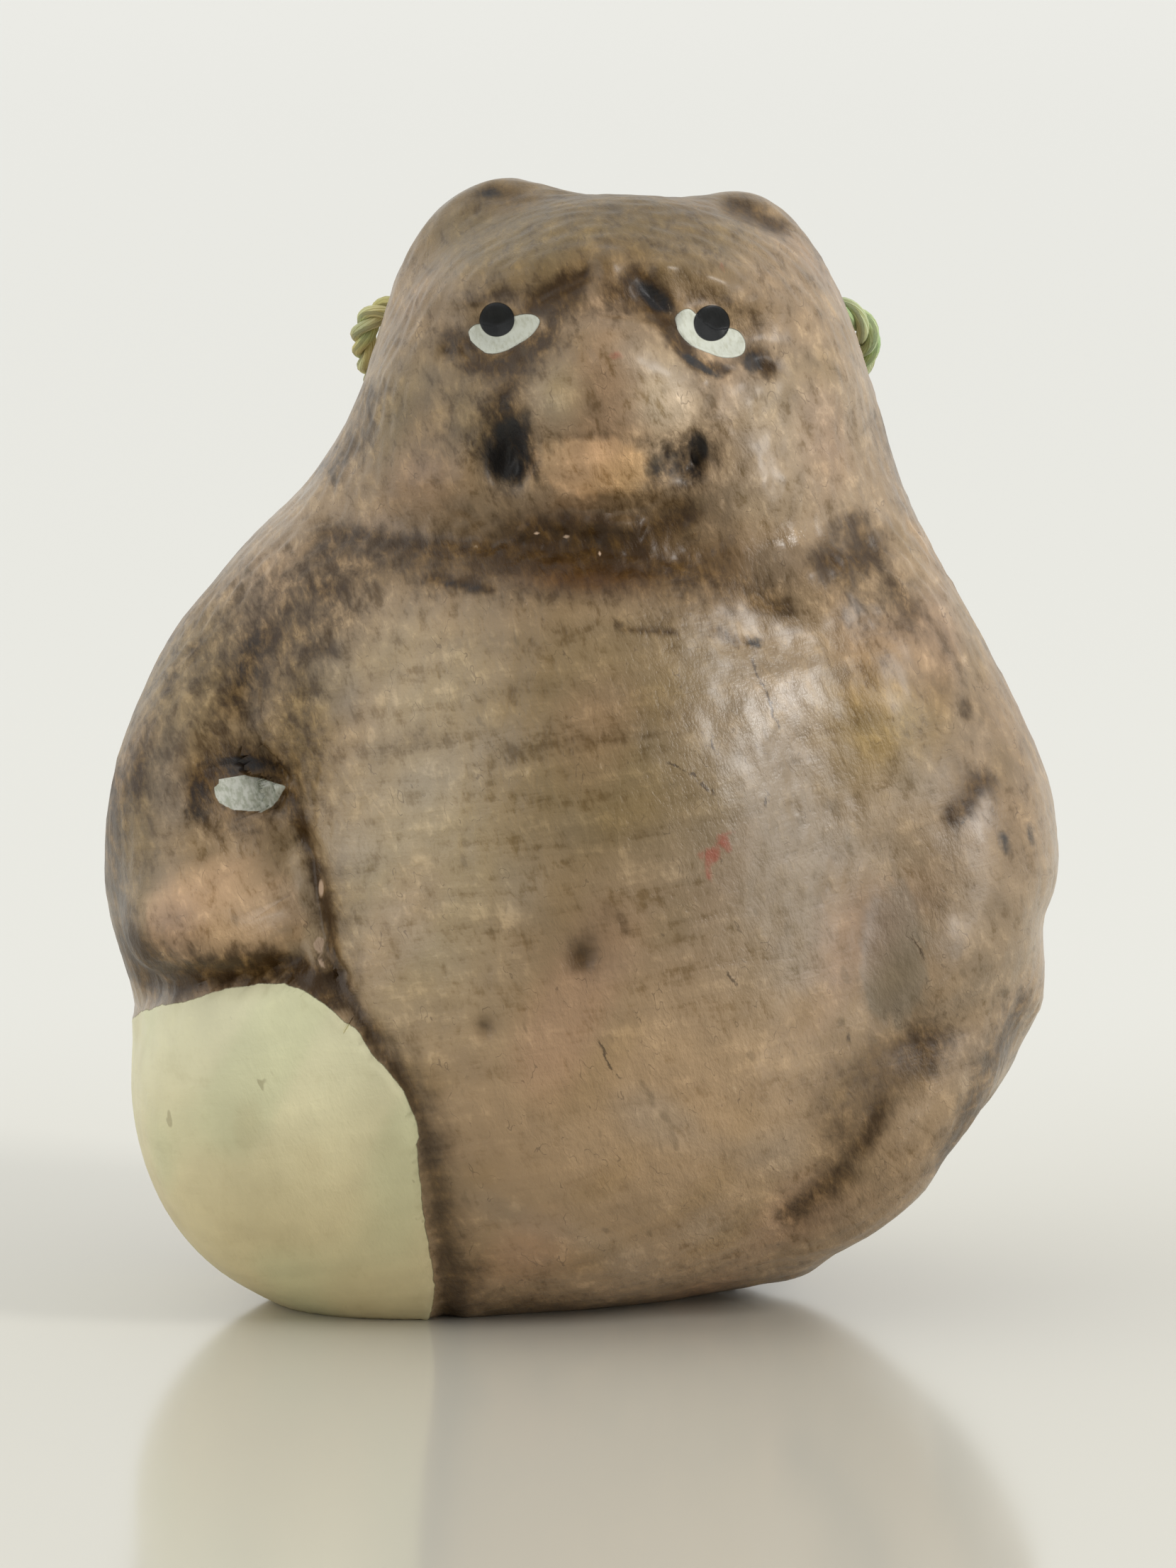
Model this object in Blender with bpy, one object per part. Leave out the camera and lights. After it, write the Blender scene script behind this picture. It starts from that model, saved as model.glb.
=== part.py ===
"""A hollow clay bell in the shape of a round, seated raccoon dog that holds a
sake flask, on a thin twisted hanging cord tied in a knot.

+Z is up and the figure's front looks along -Y. The origin is the centre of the
underside. Sizes in this file are millimetres; the meshes are made in metres.
"""

import math

import bmesh
import bpy
import numpy as np

# ---------------------------------------------------------------- sizes (mm)
WALL = 3.4                       # thickness of the clay
SHIFT = (0.04, 0.846, 0.0)       # puts the middle of the underside on the origin

# The front is laid out on a sheet ruled in squares of 0.04 mm, x to the right
# and y down, as it is seen from half a metre away and 8 degrees above.
SQUARE = 0.04
SHEET_MIDDLE = (829.5, 1106.0)
SEEN_FROM = 520.0
SEEN_AT = math.radians(8.0)
SHEET_AIM = (0.26, 28.73)        # x and z of the point under the sheet's middle

OUTER_GRID = 24                  # squares along each edge of the outer net
INNER_GRID = 10                  # and of the hollow's
FRONT_FINER = 0.33               # how much the outer net crowds to the front

SLIT_LONG, SLIT_WIDE = 17.0, 1.8
SLIT_EYE = 3.2                   # radius of the slit's round ends
SLIT_AT = (-3.0, 0.4)

CORD = 1.4                       # diameter of the hanging cord
HOLE = 1.35                      # radius of the cord's holes in the head
HOLE_AT = (5.6, 55.1)            # y and z of the holes' axis
CLEAR = 0.35                     # how far the cord stays off the clay
FLOOR = 0.06                     # and off what the bell stands on
KNOT_AT = (-0.6, 31.6, 1.85)
KNOT = (2.7, 2.3, 1.75)          # its half sizes

# ---------------------------------------------------------------- the masses
# name, centre, half sizes, lean in degrees, softness of the join
MASSES = (
    ("torso", (0.3, 0.2, 16.3), (25.9, 20.0, 17.4), 11.3, 0.0),
    ("chest", (-2.3, 0.6, 37.2), (21.6, 16.5, 13.0), 16.1, 9.0),
    ("head", (1.9, 0.5, 50.9), (13.5, 13.5, 10.3), 11.8, 8.0),
    ("left_ear", (-5.4, 1.5, 56.3), (4.8, 3.8, 6.6), -17.6, 4.0),
    ("right_ear", (9.0, 1.5, 55.7), (3.5, 3.8, 5.8), 0.0, 4.0),
    ("flask_back", (-11.5, -5.0, 9.9), (13.0, 10.0, 11.0), -12.1, 3.0),
    ("left_arm", (-20.9, -1.0, 27.4), (5.4, 9.5, 10.3), -14.2, 4.0),
    ("right_arm", (20.8, -1.0, 29.9), (4.3, 9.5, 6.3), 39.7, 4.0),
    ("right_leg", (13.4, -3.0, 12.5), (3.2, 9.5, 10.3), -13.9, 4.5),
    ("belly", (1.0, -5.5, 24.5), (17.4, 16.4, 21.5), 0.0, 4.0),
    ("face", (1.6, -3.8, 50.8), (12.4, 10.8, 8.6), 0.0, 3.0),
    ("forehead", (1.8, -4.5, 56.0), (9.0, 8.0, 5.5), 0.0, 3.5),
    ("snout", (1.5, -11.6, 52.7), (5.4, 5.0, 4.2), 0.0, 3.2),
    ("lip", (1.0, -11.0, 48.4), (4.0, 4.4, 2.8), 0.0, 1.8),
    ("flask", (-15.7, -8.5, 13.2), (8.4, 8.8, 11.2), -7.8, 2.0),
    ("left_paw", (-20.0, -9.5, 22.4), (5.3, 6.4, 4.0), 8.0, 1.6),
    ("left_forearm", (-20.8, -5.5, 27.5), (5.0, 7.6, 7.5), 0.0, 3.0),
    ("right_paw", (18.4, -10.0, 20.6), (4.2, 6.0, 4.4), 0.0, 2.0),
    ("right_side", (14.8, -4.2, 31.5), (8.3, 10.8, 12.0), 0.0, 4.0),
    ("right_forearm", (20.8, -5.5, 25.0), (4.8, 7.8, 6.5), 20.0, 4.0),
    ("right_thigh", (16.4, -7.8, 11.9), (5.1, 6.8, 9.2), -37.4, 2.2),
)

# Swellings and hollows of the front: place on the sheet, half sizes on the
# sheet, height in mm (a hollow's is below zero), turn in degrees.
SWELLINGS = (
    ("left_brow", 735, 378, 100, 30, 0.55, -16),
    ("right_brow", 1005, 388, 100, 30, 0.55, 20),
    ("left_socket", 705, 472, 80, 40, -0.9, -6),
    ("right_socket", 1012, 476, 80, 42, -0.9, 6),
    ("left_mouth_corner", 718, 640, 34, 48, -1.2, 8),
    ("right_mouth_corner", 975, 645, 46, 38, -1.0, 0),
    ("left_cheek", 590, 650, 90, 75, 0.8, 0),
    ("right_cheek", 1110, 660, 100, 75, 1.0, 0),
    ("navel", 820, 1347, 30, 30, -0.7, 0),
    ("round_the_flask_mouth", 345, 1112, 66, 48, -1.5, 8),
    ("left_ear_hollow", 697, 274, 34, 16, -0.4, 0),
)

# Cut lines of the front: points on the sheet, width and depth in mm.
CUTS = (
    ("chin", ((440, 735), (575, 752), (836, 765), (1000, 778), (1110, 795),
              (1250, 782)), 1.5, 0.7),
    ("inside_left_arm", ((393, 878), (344, 985), (335, 1052)), 1.4, 0.45),
    ("beside_left_paw", ((400, 1165), (446, 1250), (487, 1400)), 0.9, 0.45),
    ("beside_flask", ((487, 1400), (570, 1520), (612, 1680), (630, 1850)), 1.0, 0.6),
    ("under_left_paw", ((205, 1345), (320, 1385), (440, 1345)), 1.1, 0.6),
    ("above_right_arm", ((1400, 1085), (1328, 1169)), 1.1, 0.45),
    ("under_right_paw", ((1262, 1440), (1295, 1468), (1346, 1440)), 1.0, 0.5),
    ("leg", ((1245, 1557), (1176, 1667), (1108, 1709)), 1.0, 0.5),
    ("hip", ((1452, 1401), (1378, 1557), (1340, 1630)), 0.9, 0.4),
)


# ---------------------------------------------------------------- the shape
def on_sheet(p):
    """Where points are seen on the front's ruled sheet."""
    x, y, z = p[:, 0] - SHEET_AIM[0], p[:, 1], p[:, 2] - SHEET_AIM[1]
    c, s = math.cos(SEEN_AT), math.sin(SEEN_AT)
    nearer = SEEN_FROM / (SEEN_FROM + y * c - z * s)
    return (SHEET_MIDDLE[0] + x * nearer / SQUARE,
            SHEET_MIDDLE[1] - (z * c + y * s) * nearer / SQUARE)


def ellipsoid(p, centre, half, lean):
    """About how far points are outside an ellipsoid that leans sideways."""
    q = p - np.array(centre)
    c, s = math.cos(math.radians(lean)), math.sin(math.radians(lean))
    q = np.stack([q[:, 0] * c + q[:, 2] * s, q[:, 1],
                  q[:, 2] * c - q[:, 0] * s], axis=1) / np.array(half)
    out = np.sqrt((q ** 2).sum(1)) + 1e-9
    return out * (out - 1) / (np.sqrt(((q / np.array(half)) ** 2).sum(1)) + 1e-9)


def join(a, b, soft):
    """The nearer of two distances, rounded over where they are alike."""
    h = np.clip(0.5 + 0.5 * (b - a) / soft, 0, 1)
    return b + (a - b) * h - soft * h * (1 - h)


def body(p):
    """About how far points are outside the figure before it is carved."""
    d = None
    for _, centre, half, lean, soft in MASSES:
        e = ellipsoid(p, centre, half, lean)
        d = e if d is None else join(d, e, soft)
    return d


def off_line(x, y, line):
    """How far points of the sheet are from a line of straight stretches."""
    away = np.full(x.shape, 1e9)
    for (ax, ay), (bx, by) in zip(line[:-1], line[1:]):
        ex, ey = bx - ax, by - ay
        t = np.clip(((x - ax) * ex + (y - ay) * ey) / (ex * ex + ey * ey), 0, 1)
        away = np.minimum(away, np.hypot(x - ax - t * ex, y - ay - t * ey))
    return away


def carving(p):
    """How far the carved front stands out from the plain body."""
    x, y = on_sheet(p)
    h = np.zeros(x.shape)
    for _, cx, cy, rx, ry, high, turn in SWELLINGS:
        c, s = math.cos(math.radians(turn)), math.sin(math.radians(turn))
        dx, dy = x - cx, y - cy
        h += high * np.exp(-((dx * c + dy * s) / rx) ** 2
                           - ((dy * c - dx * s) / ry) ** 2)
    for _, line, wide, deep in CUTS:
        h -= deep * np.exp(-(off_line(x, y, line) * SQUARE / wide) ** 2)
    front = np.clip((3.0 - p[:, 1]) / 6.0, 0, 1)
    return h * front * front * (3 - 2 * front)


def outside(p):
    return np.maximum(body(p) - carving(p), -p[:, 2])


def hollow(p):
    return np.maximum(body(p) + WALL, WALL - p[:, 2])


# ---------------------------------------------------------------- the tools
def clear_scene():
    for obj in list(bpy.data.objects):
        bpy.data.objects.remove(obj, do_unlink=True)


def collection(name):
    made = bpy.data.collections.new(name)
    bpy.context.scene.collection.children.link(made)
    return made


def material(name, colour, roughness):
    made = bpy.data.materials.new(name)
    made.use_nodes = True
    shader = made.node_tree.nodes["Principled BSDF"]
    shader.inputs["Base Color"].default_value = (*colour, 1.0)
    shader.inputs["Roughness"].default_value = roughness
    shader.inputs["Metallic"].default_value = 0.0
    made.diffuse_color = (*colour, 1.0)
    return made


def place(name, mesh, where, finish=None):
    obj = bpy.data.objects.new(name, mesh)
    where.objects.link(obj)
    if finish:
        mesh.materials.append(finish)
    return obj


def as_cutter(obj):
    obj.hide_render = True
    obj.display_type = "WIRE"
    return obj


def pressed(name, grid, shape, low, high, reach, finer=0.0):
    """A subdivided cube whose points are pressed in, along lines from a short
    upright axis, until they meet the shape."""
    bm = bmesh.new()
    bmesh.ops.create_cube(bm, size=2.0)
    bmesh.ops.subdivide_edges(bm, edges=bm.edges[:], cuts=grid - 1, use_grid_fill=True)
    mesh = bpy.data.meshes.new(name)
    bm.to_mesh(mesh)
    bm.free()
    flat = np.empty(len(mesh.vertices) * 3, np.float32)
    mesh.vertices.foreach_get("co", flat)
    way = np.tan(flat.reshape(-1, 3).astype(float) * (math.pi / 4))
    way /= np.linalg.norm(way, axis=1)[:, None]
    way[:, 1] -= finer
    way /= np.linalg.norm(way, axis=1)[:, None]
    start = np.zeros_like(way)
    start[:, 0] = 0.5 + 1.0 * way[:, 2]
    start[:, 2] = low + (high - low) * (0.5 + 0.5 * way[:, 2])
    along = np.full(len(way), reach)
    for _ in range(90):
        step = shape(start + way * along[:, None])
        along -= 0.75 * step
    points = (start + way * along[:, None] + np.array(SHIFT)) * 0.001
    mesh.vertices.foreach_set("co", points.astype(np.float32).ravel())
    mesh.update()
    return mesh


def cylinder(name, radius, depth, at, axis, sides):
    bm = bmesh.new()
    bmesh.ops.create_cone(bm, cap_ends=True, segments=sides, radius1=radius,
                          radius2=radius, depth=depth)
    mesh = bpy.data.meshes.new(name)
    bm.to_mesh(mesh)
    bm.free()
    obj = place(name, mesh, cutters)
    obj.location = [a * 0.001 for a in at]
    if axis == "X":
        obj.rotation_euler = (0, math.pi / 2, 0)
    return as_cutter(obj)


def cut(obj, cutter):
    made = obj.modifiers.new("cut by " + cutter.name, "BOOLEAN")
    made.operation = "DIFFERENCE"
    made.solver = "EXACT"
    made.object = cutter


def through(points, count):
    """Points on a smooth curve through the route's own points, closer together
    where it bends."""
    q = np.array(points, float)
    q = np.vstack([2 * q[0] - q[1], q, 2 * q[-1] - q[-2]])
    fine = []
    for i in range(1, len(q) - 2):
        a, b, c, d = q[i - 1], q[i], q[i + 1], q[i + 2]
        for t in np.linspace(0, 1, 24, endpoint=False):
            fine.append(0.5 * (2 * b + (c - a) * t + (2 * a - 5 * b + 4 * c - d) * t * t
                               + (3 * b - a - 3 * c + d) * t ** 3))
    fine.append(q[-2])
    fine = np.array(fine)
    step = np.diff(fine, axis=0)
    long = np.linalg.norm(step, axis=1)
    turn = np.linalg.norm(np.diff(step / long[:, None], axis=0, prepend=step[:1] / long[:1, None]), axis=1)
    turn = np.convolve(turn, np.ones(15) / 15, "same")
    run = np.concatenate([[0], np.cumsum(long + 1.6 * turn)])
    want = np.linspace(0, run[-1], count)
    return np.stack([np.interp(want, run, fine[:, k]) for k in range(3)], axis=1)


def behind(x, z, off):
    """The point at x and z that is that far off the figure's back."""
    near, far = 0.0, 30.0
    for _ in range(40):
        y = (near + far) / 2
        if body(np.array([[x, y, z]]))[0] > off:
            far = y
        else:
            near = y
    return (x, far, z)


def cord_route():
    """The cord from the knot up the back, through the head and down again."""
    y, z = HOLE_AT
    low = CORD / 2 + FLOOR
    off = CORD / 2 + CLEAR
    kx, ky, _ = KNOT_AT
    left = [
        (kx - 1.1, ky - KNOT[1] - 0.3, low + 0.5),
        (kx - 1.5, ky - KNOT[1] - 2.2, low + 0.1),
        (-3.0, 24.6, low + 0.7),
        (-4.2, 22.2, 4.6),
        (-4.8, 21.5, 10.0),
        behind(-5.2, 18.0, off + 0.1),
        behind(-6.0, 27.0, off),
        behind(-7.4, 36.0, off),
        behind(-9.2, 43.5, off),
        behind(-10.9, 48.6, off + 0.1),
        (-12.35, 8.5, 51.5),
        (-12.75, 6.5, 53.6),
        (-11.5, y, 55.0),
        (-9.0, y, z),
    ]
    right = [
        (12.6, y, z),
        (15.0, y, 54.9),
        (16.15, 6.6, 53.4),
        (15.6, 8.7, 51.3),
        behind(13.8, 48.4, off + 0.1),
        behind(10.9, 43.2, off),
        behind(8.2, 36.0, off),
        behind(5.9, 27.0, off),
        behind(4.4, 18.0, off + 0.1),
        (3.6, 21.5, 10.0),
        (2.9, 22.3, 4.6),
        (1.8, 24.7, low + 0.7),
        (kx + 1.5, ky - KNOT[1] - 2.2, low + 0.1),
        (kx + 1.1, ky - KNOT[1] - 0.3, low + 0.5),
    ]
    return left + [(2.0, y, z)] + right


# ---------------------------------------------------------------- the object
clear_scene()
parts = collection("clay_bell_amulet")
cutters = collection("cutters")

clay = material("fired_clay", (0.34, 0.25, 0.165), 0.42)
thread = material("twisted_thread", (0.45, 0.48, 0.24), 0.75)

bell = place("bell_body", pressed("bell_body", OUTER_GRID, outside, 17.0, 50.0, 45.0,
                                  FRONT_FINER), parts, clay)
room = as_cutter(place("hollow", pressed("hollow", INNER_GRID, hollow, 17.0, 47.0, 36.0),
                       cutters))

bm = bmesh.new()
bmesh.ops.create_cube(bm, size=1.0)
bmesh.ops.scale(bm, vec=(SLIT_LONG * 0.001, SLIT_WIDE * 0.001, 0.012), verts=bm.verts)
slot = bpy.data.meshes.new("slit")
bm.to_mesh(slot)
bm.free()
slit = as_cutter(place("slit", slot, cutters))
slit_x, slit_y = SLIT_AT[0] + SHIFT[0], SLIT_AT[1] + SHIFT[1]
slit.location = (slit_x * 0.001, slit_y * 0.001, 0.001)

bell_cutters = [room, slit]
for side in (-1, 1):
    eye = (slit_x + side * SLIT_LONG / 2, slit_y, 1.5)
    bell_cutters.append(cylinder(f"slit_end_{side + 1}", SLIT_EYE * 0.001, 0.012, eye, "Z", 20))
hole_x = (SHIFT[0] + 2.0, HOLE_AT[0] + SHIFT[1], HOLE_AT[1])
bell_cutters.append(cylinder("cord_hole", HOLE * 0.001, 0.040, hole_x, "X", 14))
for cutter in bell_cutters:
    cut(bell, cutter)
bell.data.shade_smooth()

route = (through(cord_route(), 78) + np.array(SHIFT)) * 0.001
line = bpy.data.curves.new("hanging_cord", "CURVE")
line.dimensions = "3D"
line.bevel_depth = CORD / 2 * 0.001
line.bevel_resolution = 2
line.use_fill_caps = True
spline = line.splines.new("POLY")
spline.points.add(len(route) - 1)
for point, place_of in zip(spline.points, route):
    point.co = (*place_of, 1.0)
cord = bpy.data.objects.new("hanging_cord", line)
cord.data.materials.append(thread)
parts.objects.link(cord)

bm = bmesh.new()
bmesh.ops.create_uvsphere(bm, u_segments=14, v_segments=9, radius=0.001)
bmesh.ops.scale(bm, vec=KNOT, verts=bm.verts)
lump = bpy.data.meshes.new("cord_knot")
bm.to_mesh(lump)
bm.free()
knot = place("cord_knot", lump, parts, thread)
knot.location = [(a + b) * 0.001 for a, b in zip(KNOT_AT, SHIFT)]
knot.data.shade_smooth()
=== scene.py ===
"""The looks of a painted clay bell: a seated raccoon dog with a sake flask.

The clay's shape is the same set of masses, swellings and cuts as the part's,
here with its fine relief, and the paint is laid out on the same ruled sheet:
x to the right and y down in squares of 0.04 mm, 1659 by 2212 of them, as the
front is seen from half a metre away and 8 degrees above.
"""

import math

import bmesh
import bpy
import numpy as np
from mathutils import Matrix, Vector


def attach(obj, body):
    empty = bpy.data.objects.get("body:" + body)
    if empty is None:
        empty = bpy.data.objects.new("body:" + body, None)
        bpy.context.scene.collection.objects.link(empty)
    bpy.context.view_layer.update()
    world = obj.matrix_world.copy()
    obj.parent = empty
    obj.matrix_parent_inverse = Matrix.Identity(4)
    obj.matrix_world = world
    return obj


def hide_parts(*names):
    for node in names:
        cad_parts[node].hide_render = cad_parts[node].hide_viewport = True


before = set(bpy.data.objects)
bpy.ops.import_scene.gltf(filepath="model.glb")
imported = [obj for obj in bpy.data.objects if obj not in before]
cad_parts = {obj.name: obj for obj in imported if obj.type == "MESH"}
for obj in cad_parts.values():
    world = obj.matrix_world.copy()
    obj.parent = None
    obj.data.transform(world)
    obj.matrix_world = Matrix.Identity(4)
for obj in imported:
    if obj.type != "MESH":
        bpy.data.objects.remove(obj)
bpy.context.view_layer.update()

# ------------------------------------------------------------------ sizes (mm)
WALL = 3.4
SHIFT = np.array((0.04, 0.846, 0.0))
SQUARE = 0.04
SHEET_MIDDLE = (829.5, 1106.0)
SEEN_FROM = 520.0
SEEN_AT = math.radians(8.0)
SHEET_AIM = (0.26, 28.73)

OUTER_GRID, INNER_GRID = ((98, 30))
# ovals of the sheet whose squares are halved, and halved again
DETAILED = (((860, 560, 330, 250), (350, 1120, 90, 60), (455, 1290, 60, 190)),
            ((705, 468, 72, 50), (1005, 470, 80, 55), (350, 1118, 62, 44)))
FRONT_FINER = 0.33

SLIT_LONG, SLIT_WIDE, SLIT_EYE = 17.0, 1.8, 3.2
SLIT_AT = (-3.0, 0.4)
CORD, HOLE = 1.4, 1.35
HOLE_AT = (5.6, 55.1)
CLEAR, FLOOR = 0.35, 0.06
KNOT_AT, KNOT = (-0.6, 31.6, 1.85), (2.7, 2.3, 1.75)

# name, centre, half sizes, lean in degrees, softness of the join
# (x, z, half sizes and lean of eleven of these were fitted to the photograph)
MASSES = (
    ("torso", (0.3, 0.2, 16.3), (25.9, 20.0, 17.4), 11.3, 0.0),
    ("chest", (-2.3, 0.6, 37.2), (21.6, 16.5, 13.0), 16.1, 9.0),
    ("head", (1.9, 0.5, 50.9), (13.5, 13.5, 10.3), 11.8, 8.0),
    ("left_ear", (-5.4, 1.5, 56.3), (4.8, 3.8, 6.6), -17.6, 4.0),
    ("right_ear", (9.0, 1.5, 55.7), (3.5, 3.8, 5.8), 0.0, 4.0),
    ("flask_back", (-11.5, -5.0, 9.9), (13.0, 10.0, 11.0), -12.1, 3.0),
    ("left_arm", (-20.9, -1.0, 27.4), (5.4, 9.5, 10.3), -14.2, 4.0),
    ("right_arm", (20.8, -1.0, 29.9), (4.3, 9.5, 6.3), 39.7, 4.0),
    ("right_leg", (13.4, -3.0, 12.5), (3.2, 9.5, 10.3), -13.9, 4.5),
    ("belly", (1.0, -5.5, 24.5), (17.4, 16.4, 21.5), 0.0, 4.0),
    ("face", (1.6, -3.8, 50.8), (12.4, 10.8, 8.6), 0.0, 3.0),
    ("forehead", (1.8, -4.5, 56.0), (9.0, 8.0, 5.5), 0.0, 3.5),
    ("snout", (1.5, -11.6, 52.7), (5.4, 5.0, 4.2), 0.0, 3.2),
    ("lip", (1.0, -11.0, 48.4), (4.0, 4.4, 2.8), 0.0, 1.8),
    ("flask", (-15.7, -8.5, 13.2), (8.4, 8.8, 11.2), -7.8, 2.0),
    ("left_paw", (-20.0, -9.5, 22.4), (5.3, 6.4, 4.0), 8.0, 1.6),
    ("left_forearm", (-20.8, -5.5, 27.5), (5.0, 7.6, 7.5), 0.0, 3.0),
    ("right_paw", (18.4, -10.0, 20.6), (4.2, 6.0, 4.4), 0.0, 2.0),
    ("right_side", (14.8, -4.2, 31.5), (8.3, 10.8, 12.0), 0.0, 4.0),
    ("right_forearm", (20.8, -5.5, 25.0), (4.8, 7.8, 6.5), 20.0, 4.0),
    ("right_thigh", (16.4, -7.8, 11.9), (5.1, 6.8, 9.2), -37.4, 2.2),
)

# Swellings and hollows: place and half sizes on the sheet, height in mm, turn
SWELLINGS = (
    ("left_brow", 735, 376, 100, 27, 0.65, -16),
    ("right_brow", 1005, 386, 100, 28, 0.65, 20),
    ("left_brow_knot", 857, 366, 24, 20, 0.42, 0),
    ("right_brow_knot", 932, 376, 20, 17, 0.34, 0),
    ("left_socket", 705, 470, 80, 40, -1.1, -6),
    ("right_socket", 1012, 474, 80, 42, -1.1, 6),
    ("left_lid", 690, 430, 60, 12, 0.18, 8),
    ("right_lid", 1015, 432, 60, 12, 0.18, -4),
    ("above_snout", 893, 425, 60, 20, -0.35, 0),
    ("left_of_snout", 728, 550, 42, 66, -0.40, 8),
    ("right_of_snout", 1010, 560, 42, 60, -0.28, -10),
    ("arch", 860, 500, 90, 50, 0.35, 0),
    ("left_mouth_corner", 718, 643, 28, 44, -1.3, 8),
    ("right_mouth_corner", 975, 645, 42, 36, -0.95, 0),
    ("right_corner_pit", 982, 640, 11, 26, -0.45, 8),
    ("under_lip", 860, 722, 95, 20, -0.55, -4),
    ("left_jowl", 620, 680, 85, 55, 0.75, 8),
    ("right_jowl", 1090, 700, 95, 60, 1.15, -6),
    ("chin", 835, 738, 70, 16, 0.35, 0),
    ("navel", 820, 1347, 25, 25, -0.6, 0),
    ("navel_ring", 838, 1330, 74, 66, 0.12, 0),
    ("small_pit", 686, 1449, 13, 14, -0.3, 0),
    ("cheek_bead", 1116, 752, 17, 14, 0.10, 0),
    ("round_the_flask_mouth", 345, 1112, 66, 47, -1.0, 8),
    ("left_ear_hollow", 697, 272, 26, 11, -0.5, 0),
    ("left_eye_corner", 628, 497, 9, 14, -0.3, 10),
    ("right_eye_corner", 1074, 522, 17, 12, -0.4, 20),
    ("left_paw_lump", 320, 1290, 95, 60, 0.25, 0),
    ("right_paw_edge", 1295, 1330, 60, 80, 0.16, 0),
    ("right_chest", 1110, 980, 90, 70, 0.25, 0),
    ("jaw_end", 1140, 812, 64, 50, 1.3, 0),
    ("side_dip", 1492, 1305, 34, 44, -0.7, 0),
    ("side_bulge", 1468, 1412, 44, 40, 0.55, 0),
)

# Cut lines: points on the sheet, width and depth in mm
CUTS = (
    ("chin", ((430, 735), (575, 758), (700, 772), (836, 782), (930, 780),
              (1045, 785)), 1.9, 0.75),
    ("chin_end", ((1165, 792), (1210, 790), (1275, 784)), 1.5, 0.5),
    ("chin_line", ((600, 752), (700, 763), (790, 772), (880, 776)), 0.55, 0.2),
    ("chin_pocket", ((740, 752), (800, 752), (880, 758)), 0.95, 0.35),
    ("over_snout", ((765, 482), (795, 450), (850, 436), (905, 442), (948, 465)), 0.6, 0.26),
    ("jowl_line", ((890, 752), (940, 733), (995, 708)), 0.7, 0.3),
    ("left_brow_cut", ((850, 378), (800, 402), (740, 432)), 0.6, 0.36),
    ("right_brow_cut", ((896, 392), (925, 422), (958, 460)), 0.55, 0.45),
    ("right_eye_cut", ((945, 440), (962, 485), (985, 512), (1050, 530)), 0.45, 0.2),
    ("right_ear_cut", ((1005, 282), (1065, 303), (1125, 334)), 0.6, 0.34),
    ("inside_left_arm", ((420, 830), (393, 878), (371, 932), (344, 985), (335, 1052),
                         (338, 1110)), 1.3, 0.5),
    ("beside_left_paw", ((400, 1165), (438, 1199), (446, 1250), (453, 1300),
                         (463, 1347), (487, 1400)), 0.55, 0.5),
    ("beside_flask", ((455, 1370), (487, 1400), (532, 1462), (570, 1520), (598, 1600),
                      (606, 1680), (618, 1760), (628, 1850), (634, 1960)), 0.7, 0.38),
    ("under_left_paw", ((205, 1345), (250, 1372), (320, 1385), (390, 1370),
                        (440, 1345)), 0.8, 0.65),
    ("above_right_arm", ((1420, 1050), (1395, 1095), (1370, 1140), (1300, 1185)), 1.1, 0.14),
    ("right_shoulder_fold", ((1372, 950), (1366, 990), (1360, 1040)), 0.6, 0.14),
    ("right_paw_side", ((1236, 1225), (1228, 1300), (1240, 1380), (1262, 1450)), 1.4, 0.07),
    ("under_right_paw", ((1245, 1440), (1290, 1466), (1335, 1448), (1385, 1405)), 1.1, 0.3),
    ("leg", ((1262, 1520), (1246, 1557), (1194, 1622), (1147, 1686), (1085, 1730)), 0.95, 0.36),
    ("hip", ((1466, 1360), (1452, 1399), (1405, 1487), (1352, 1604), (1310, 1680)), 1.0, 0.36),
)

# Thick paint: the flask's body, its mouth and the whites of the eyes
FLASK = ((195, 1429), (264, 1411), (322, 1394), (375, 1387), (407, 1389),
         (442, 1405), (478, 1432), (500, 1450), (520, 1478), (545, 1508),
         (567, 1536), (583, 1568), (592, 1602), (588, 1614), (592, 1661),
         (599, 1719), (608, 1773), (611, 1840), (560, 1900), (300, 1900),
         (150, 1700), (140, 1480))
MOUTH = ((302, 1114), (310, 1096), (322, 1089), (350, 1094), (398, 1107),
         (399, 1116), (381, 1140), (354, 1149), (325, 1141), (306, 1129))
LEFT_WHITE = ((661, 469), (668, 460), (680, 457), (700, 458), (726, 446),
              (745, 443), (757, 446), (762, 454), (755, 467), (743, 478),
              (725, 489), (706, 497), (689, 498), (674, 491), (664, 480))
RIGHT_WHITE = ((952, 450), (958, 441), (970, 436), (980, 441), (1002, 462),
               (1020, 463), (1032, 463), (1043, 468), (1051, 480), (1052, 491),
               (1045, 501), (1026, 505), (1004, 500), (982, 491), (965, 478),
               (955, 464))
FLASK_SIDE = (-8.0, 6.0, 12.6)        # middle (y, z) and radius of its outline from the side
LEFT_PUPIL, RIGHT_PUPIL = (701, 451, 24.5), (1004, 456, 25.5)


# ------------------------------------------------------------------ the shape
def on_sheet(p):
    x, y, z = p[:, 0] - SHEET_AIM[0], p[:, 1], p[:, 2] - SHEET_AIM[1]
    c, s = math.cos(SEEN_AT), math.sin(SEEN_AT)
    nearer = SEEN_FROM / (SEEN_FROM + y * c - z * s)
    return (SHEET_MIDDLE[0] + x * nearer / SQUARE,
            SHEET_MIDDLE[1] - (z * c + y * s) * nearer / SQUARE)


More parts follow.
